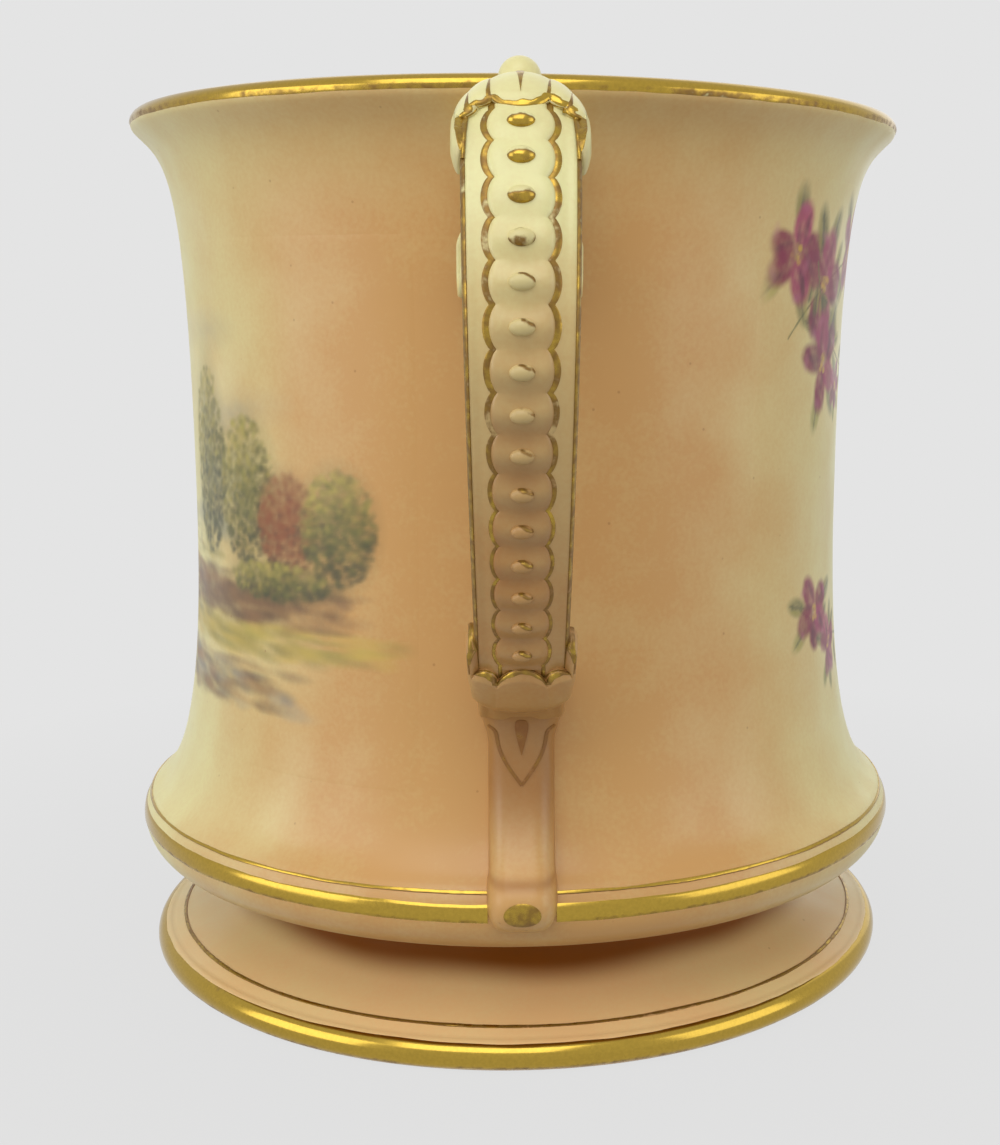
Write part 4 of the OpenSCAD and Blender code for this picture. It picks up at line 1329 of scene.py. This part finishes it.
def tree(canvas, p, across, foot, tall, spread, count):
    """A tree: a bent trunk with boughs, and a crown of leaf masses round its top."""
    rng = canvas.rng
    lean = 0.05 * tall
    top = np.array([across + lean, foot + 0.62 * tall])
    trunk = [[across, foot], [across + 0.2 * lean, foot + 0.25 * tall], top]
    canvas.stroke(trunk, 1.2 * MM, p["bark"], 0.8)
    for turn in (40, 75, 110, 145):
        tip = top + 0.33 * spread * direction(turn)
        canvas.stroke([top - [0.6 * lean, 0.25 * tall], tip], 0.6 * MM, p["bark"], 0.7)
    for turn in range(90, 450, 45):
        spot = top + direction(turn) * [0.3 * spread, 0.2 * tall] * rng.uniform(0.75, 1.1)
        grove(canvas, p, spot[0], spot[1] - 0.13 * tall, 0.42 * spread, 0.26 * tall, count // 9)
    grove(canvas, p, top[0], top[1] - 0.08 * tall, 0.4 * spread, 0.24 * tall, count // 9)


def grove(canvas, p, across, foot, wide, tall, count, keys=GREENS):
    """A rounded mass of leaves in soft dabs: dark below and behind, light above and in front."""
    rng = canvas.rng
    canvas.wash(across, foot + 0.5 * tall, 1.1 * wide, 1.1 * tall, 0, p[keys[1]], 0.9)
    for _ in range(count):
        turn = rng.uniform(0, 2 * np.pi)
        out = np.sqrt(rng.uniform(0, 1))
        off = 0.42 * out * np.array([np.cos(turn), np.sin(turn)])
        light = np.clip(0.45 + 0.9 * off[1] - 0.3 * off[0] + rng.normal(0, 0.2), 0, 0.99)
        canvas.dab(across + off[0] * wide, foot + (0.5 + off[1]) * tall, rng.uniform(1.3, 2.8) * MM,
                   rng.uniform(1.0, 1.9) * MM, rng.uniform(-30, 50), p[keys[int(4 * light)]],
                   rng.uniform(0.25, 0.55), 0.8)


def streaks(canvas, p, keys, low, high, left, right, count, long, wide, strength):
    """Level brush marks scattered over a band, thinning to its ends. Its bounds and the marks'
    length and width are in millimetres."""
    rng = canvas.rng
    for _ in range(count):
        share = rng.beta(1.6, 1.6, 2)
        canvas.dab((left + (right - left) * share[0]) * MM, (low + (high - low) * share[1]) * MM,
                   long * MM * rng.uniform(0.5, 1.3), wide * MM * rng.uniform(0.6, 1.3),
                   rng.normal(-2, 4),
                   p[keys[rng.integers(len(keys))]], strength * rng.uniform(0.5, 1), 0.8)


def reeds(canvas, p, across, foot, wide, tall, count):
    """A clump of reeds: thin upright strokes that lean apart."""
    rng = canvas.rng
    for _ in range(count):
        start = across + rng.uniform(-0.5, 0.5) * wide
        tip = [start + rng.normal(0, 0.12) * tall, foot + tall * rng.uniform(0.5, 1)]
        key = ("olive", "moss", "earth")[rng.integers(3)]
        canvas.stroke([[start, foot], tip], 0.4 * MM, p[key], 0.7)


def leaf(canvas, p, spot, tilt, long, key):
    """A pointed leaf from a spot: a soft oval with a dark rib and a light edge."""
    middle = spot + 0.55 * long * direction(tilt)
    canvas.dab(middle[0], middle[1], long, 0.5 * long, tilt, p[key], 0.85, 0.5)
    canvas.dab(middle[0], middle[1], 0.9 * long, 0.09 * long, tilt, p["pine"], 0.55)
    edge = middle + 0.12 * long * direction(tilt + 90)
    canvas.dab(edge[0], edge[1], 0.7 * long, 0.14 * long, tilt, p["lime"], 0.5)


def spray(canvas, p, stem, flowers, leaf_count):
    """A flower spray: a curved stem with paired leaves, and flowers with leaves behind them."""
    rng = canvas.rng
    greens = ("leaf", "olive", "sprig")
    line = bezier(np.array(stem) * MM, 60)
    canvas.stroke(line, 0.45 * MM, p["leaf"], 0.75)
    run = np.gradient(line, axis=0)
    for k in range(leaf_count):
        at = int(4 + 52 * k / leaf_count)
        way = np.degrees(np.arctan2(run[at, 1], run[at, 0]))
        tilt = way + (1 if k % 2 else -1) * rng.uniform(30, 65)
        leaf(canvas, p, line[at], tilt, rng.uniform(4.0, 7.0) * MM, greens[k % 3])
    for across, height, size in flowers:
        centre = np.array([across, height]) * MM
        for k in range(4):
            tilt = 90 * k + rng.uniform(0, 90)
            leaf(canvas, p, centre + 0.2 * size * MM * direction(tilt), tilt, 0.6 * size * MM,
                 greens[k % 3])
        flower(canvas, p, across * MM, height * MM, size * MM)


def flower(canvas, p, across, height, size):
    """An open flower: five broad uneven petals with dark strokes and pale tips, and stamens."""
    rng = canvas.rng
    centre = np.array([across, height])
    start = rng.uniform(0, 72)
    for k in range(5):
        tilt = start + 72 * k + rng.normal(0, 9)
        middle = centre + 0.29 * size * direction(tilt)
        canvas.dab(middle[0], middle[1], rng.uniform(0.5, 0.68) * size, rng.uniform(0.36, 0.5) * size,
                   tilt, p[("rose", "petal", "rose")[k % 3]], 1.0, 0.35)
        for _ in range(3):
            spot = middle + rng.normal(0, 0.07, 2) * size
            canvas.dab(spot[0], spot[1], 0.4 * size, 0.12 * size, tilt + rng.normal(0, 14),
                       p[("crimson", "rose")[rng.integers(2)]], 0.6, 0.6)
        tip = centre + 0.46 * size * direction(tilt + rng.normal(0, 14))
        canvas.dab(tip[0], tip[1], 0.14 * size, 0.26 * size, tilt, p["blossom"], 0.4, 0.8)
    for _ in range(9):
        spot = centre + rng.normal(0, 0.05, 2) * size
        key = ("pollen", "clay")[rng.integers(2)]
        canvas.dab(spot[0], spot[1], 0.1 * size, 0.08 * size, 0, p[key], 0.7)


class CUP_OT_landscape(bpy.types.Operator):
    """Painted landscape between the handles on the left: pond, reeds, trees and far hills"""

    bl_idname = "cup.landscape"
    bl_label = "Painted landscape"

    def execute(self, context):
        cup, _ = sizes()
        canvas = Canvas(Bowl(cup), -90, 76, 0.040, 0.124, 0.36 * MM, 5)
        p = paints()
        rng = canvas.rng
        # Sky, far hills, and the level ground and water from far to near
        for _ in range(60):
            canvas.wash(rng.uniform(-54, 44) * MM, rng.uniform(84, 116) * MM, rng.uniform(14, 30) * MM,
                        rng.uniform(5, 11) * MM, rng.normal(0, 8),
                        p[("sky", "cloud", "mist", "cloud")[rng.integers(4)]], rng.uniform(0.14, 0.34))
        for centre, wide, top in ((-38, 34, 86), (-6, 30, 84), (22, 26, 83)):
            for k in range(14):
                off = rng.uniform(-0.5, 0.5)
                canvas.wash((centre + off * wide) * MM, (top - 4 - 9 * off * off) * MM,
                            9 * MM, 5 * MM, 0, p[("mist", "water", "moss")[k % 3]], 0.35)
        for keys, *band in (
                (("moss", "straw", "lime"), 70, 78, -56, 40, 130, 7, 1.6, 0.5),
                (("water", "sky", "cloud"), 62, 70, -50, 14, 170, 8, 1.1, 0.6),
                (("straw", "straw", "lime", "moss"), 58, 64, -40, 72, 420, 12, 2.2, 0.42),
                (("earth", "bark", "clay", "earth"), 63, 71, -6, 62, 460, 9, 2.4, 0.45),
                (("earth", "bark", "clay", "mist"), 49, 57, -44, 54, 420, 10, 2.4, 0.4)):
            streaks(canvas, p, keys, *band)
        # Trees and bushes: where each stands, its width and height in millimetres, and its dabs
        autumn = ("bark", "rust", "rust", "clay")
        for across, foot, wide, tall, count, keys in (
                (27, 70, 16, 36, 900, GREENS), (40, 70, 18, 28, 800, GREENS),
                (50, 70, 15, 19, 600, autumn), (60, 69, 16, 21, 620, GREENS),
                (47, 67, 28, 7, 420, GREENS), (-12, 72, 24, 8, 320, GREENS)):
            grove(canvas, p, across * MM, foot * MM, wide * MM, tall * MM, count, keys)
        tree(canvas, p, -34 * MM, 68 * MM, 42 * MM, 28 * MM, 1500)
        grove(canvas, p, -46 * MM, 66 * MM, 18 * MM, 10 * MM, 320)
        reeds(canvas, p, -16 * MM, 58 * MM, 16 * MM, 10 * MM, 34)
        reeds(canvas, p, 2 * MM, 56 * MM, 9 * MM, 8 * MM, 18)
        canvas.build("landscape_enamels")
        return {"FINISHED"}


class CUP_OT_flowers(bpy.types.Operator):
    """Painted flower sprays between the handles on the right"""

    bl_idname = "cup.flowers"
    bl_label = "Painted flowers"

    def execute(self, context):
        cup, _ = sizes()
        canvas = Canvas(Bowl(cup), 90, 52, 0.042, 0.134, 0.33 * MM, 9)
        p = paints()
        spray(canvas, p, [[-42, 108], [-26, 124], [2, 126], [22, 112]],
              [(-41, 121, 15), (-31, 116, 17), (-14, 122, 16), (4, 119, 14), (20, 112, 11)], 20)
        spray(canvas, p, [[-34, 120], [-30, 106], [-16, 100], [2, 104]],
              [(-29, 104, 15), (-20, 100, 8), (-7, 104, 10)], 12)
        spray(canvas, p, [[-36, 64], [-14, 52], [10, 54], [32, 62]],
              [(-30, 63, 13), (-22, 56, 10), (-4, 55, 13), (16, 57, 11), (28, 61, 9)], 16)
        canvas.build("flower_enamels")
        return {"FINISHED"}


# Studio

def seen_directly(tree):
    """Socket that is 1 for rays from the camera, off a mirror or through glass, and 0 for light."""
    path = add(tree, "ShaderNodeLightPath").outputs
    direct = path["Is Camera Ray"]
    for kind in ("Is Glossy Ray", "Is Transmission Ray"):
        direct = add(tree, "ShaderNodeMath", {0: direct, 1: path[kind]}, operation="MAXIMUM").outputs[0]
    return direct


def studio_floor(scene):
    """Pale paper under the cup: a level sheet. The cup's shadow shows near it, and the paper fades
    to an even tone further off."""
    material, tree = new_material("pale_backdrop_paper")
    place = add(tree, "ShaderNodeTexCoord").outputs["Object"]
    off = add(tree, "ShaderNodeVectorMath", {0: place}, operation="LENGTH").outputs["Value"]
    even = add(tree, "ShaderNodeMapRange", {"Value": off, "From Min": 0.06, "From Max": 0.2,
                                            "To Min": 0.92, "To Max": 1.0})
    share = add(tree, "ShaderNodeMath", {0: seen_directly(tree), 1: even.outputs[0]},
                operation="MULTIPLY")
    matt = add(tree, "ShaderNodeBsdfDiffuse", {"Color": opaque(scene.cup_colours.shade)})
    glow = add(tree, "ShaderNodeEmission", {"Color": opaque(scene.cup_colours.backdrop),
                                            "Strength": 1.0})
    both = add(tree, "ShaderNodeMixShader", {0: share.outputs[0], 1: matt.outputs[0],
                                             2: glow.outputs[0]})
    add(tree, "ShaderNodeOutputMaterial", {"Surface": both.outputs[0]})
    count = 9
    x, y = np.meshgrid(*2 * [np.linspace(-2.5, 2.5, count)])
    flat = np.stack([x, y, np.zeros_like(x)], -1)
    mesh = bpy.data.meshes.new("studio_floor")
    mesh.from_pydata(flat.reshape(-1, 3).tolist(), [],
                     grid_faces(count, count, False, False)[:, ::-1].tolist())
    mesh.materials.append(material)
    floor = bpy.data.objects.new("studio_floor", mesh)
    scene.collection.objects.link(floor)


def studio_world(scene):
    """Soft white light from all round, with the paper's tone where it is seen."""
    scene.world = bpy.data.worlds.new("studio")
    scene.world.use_nodes = True
    tree = scene.world.node_tree
    tree.nodes.clear()
    soft = add(tree, "ShaderNodeBackground", {"Color": opaque(linear("#ffffff")), "Strength": 0.42})
    wall = add(tree, "ShaderNodeBackground", {"Color": opaque(scene.cup_colours.backdrop),
                                              "Strength": 1.0})
    both = add(tree, "ShaderNodeMixShader", {0: seen_directly(tree), 1: soft.outputs[0],
                                             2: wall.outputs[0]})
    add(tree, "ShaderNodeOutputWorld", {"Surface": both.outputs[0]})


def studio_lamps(scene):
    """Square softboxes round the cup, each with its place, its side in metres and its watts."""
    target = Vector((0, 0, 0.075))
    lamps = {
        "overhead_softbox": ((-0.12, -0.5, 0.62), 0.6, 2.35),
        "left_softbox": ((-0.75, -0.35, 0.26), 0.6, 2.25),
        "right_softbox": ((0.75, -0.35, 0.26), 0.6, 1.5),
        "back_softbox": ((0.2, 0.8, 0.45), 1.1, 1.4),
    }
    for name, (place, side, power) in lamps.items():
        lamp = bpy.data.lights.new(name, "AREA")
        lamp.shape = "SQUARE"
        lamp.size = side
        lamp.energy = power
        stand = bpy.data.objects.new(name, lamp)
        stand.location = place
        stand.rotation_euler = (target - Vector(place)).to_track_quat("-Z", "Y").to_euler()
        scene.collection.objects.link(stand)


def photo_camera(scene):
    """Camera matched to the photograph's rim, foot and shoulder ellipses."""
    lens = bpy.data.cameras.new("photo_camera")
    lens.sensor_width = 36
    lens.lens = 49.92
    lens.shift_x = -0.0832
    turn, tilt, roll = np.radians([-3.1, 90 - 9.476, 0.27])
    camera = bpy.data.objects.new("photo_camera", lens)
    camera.matrix_world = (Matrix.Translation((-0.0015, -0.286, 0.1126)) @ Matrix.Rotation(turn, 4, "Z")
                           @ Matrix.Rotation(tilt, 4, "X") @ Matrix.Rotation(roll, 4, "Z"))
    scene.collection.objects.link(camera)
    scene.camera = camera


class CUP_OT_stage(bpy.types.Operator):
    """Pale paper floor, soft studio lamps and the camera"""

    bl_idname = "cup.stage"
    bl_label = "Studio"

    def execute(self, context):
        for part in (studio_floor, studio_world, studio_lamps, photo_camera):
            part(context.scene)
        context.scene.view_settings.view_transform = "Standard"
        return {"FINISHED"}


# Add-on

class CUP_PT_panel(bpy.types.Panel):
    """Lists the cup's sizes, colours and pieces"""

    bl_idname = "CUP_PT_panel"
    bl_label = "Loving cup"
    bl_space_type = "VIEW_3D"
    bl_region_type = "UI"
    bl_category = "Cup"

    def draw(self, context):
        for name in GROUPS:
            group = getattr(context.scene, name)
            box = self.layout.box()
            for key in group.__annotations__:
                box.prop(group, key)
        for operator in OPERATORS:
            self.layout.operator(operator.bl_idname)


GROUPS = {"cup_sizes": CupSizes, "handle_sizes": HandleSizes, "cup_colours": CupColours,
          "paint_colours": PaintColours}
OPERATORS = (CUP_OT_bowl, CUP_OT_foot, CUP_OT_gilt_rings, CUP_OT_straps, CUP_OT_panels, CUP_OT_beads,
             CUP_OT_strap_gilding, CUP_OT_cuffs, CUP_OT_knobs, CUP_OT_scrolls, CUP_OT_tails,
             CUP_OT_landscape, CUP_OT_flowers, CUP_OT_stage)


def register():
    for item in (*GROUPS.values(), *OPERATORS, CUP_PT_panel):
        bpy.utils.register_class(item)
    for name, group in GROUPS.items():
        setattr(bpy.types.Scene, name, bpy.props.PointerProperty(type=group))


def unregister():
    for name in GROUPS:
        delattr(bpy.types.Scene, name)
    for item in (CUP_PT_panel, *reversed(OPERATORS), *reversed(list(GROUPS.values()))):
        bpy.utils.unregister_class(item)


def main():
    register()
    for operator in OPERATORS:
        group, name = operator.bl_idname.split(".")
        getattr(getattr(bpy.ops, group), name)()


if __name__ == "__main__":
    main()
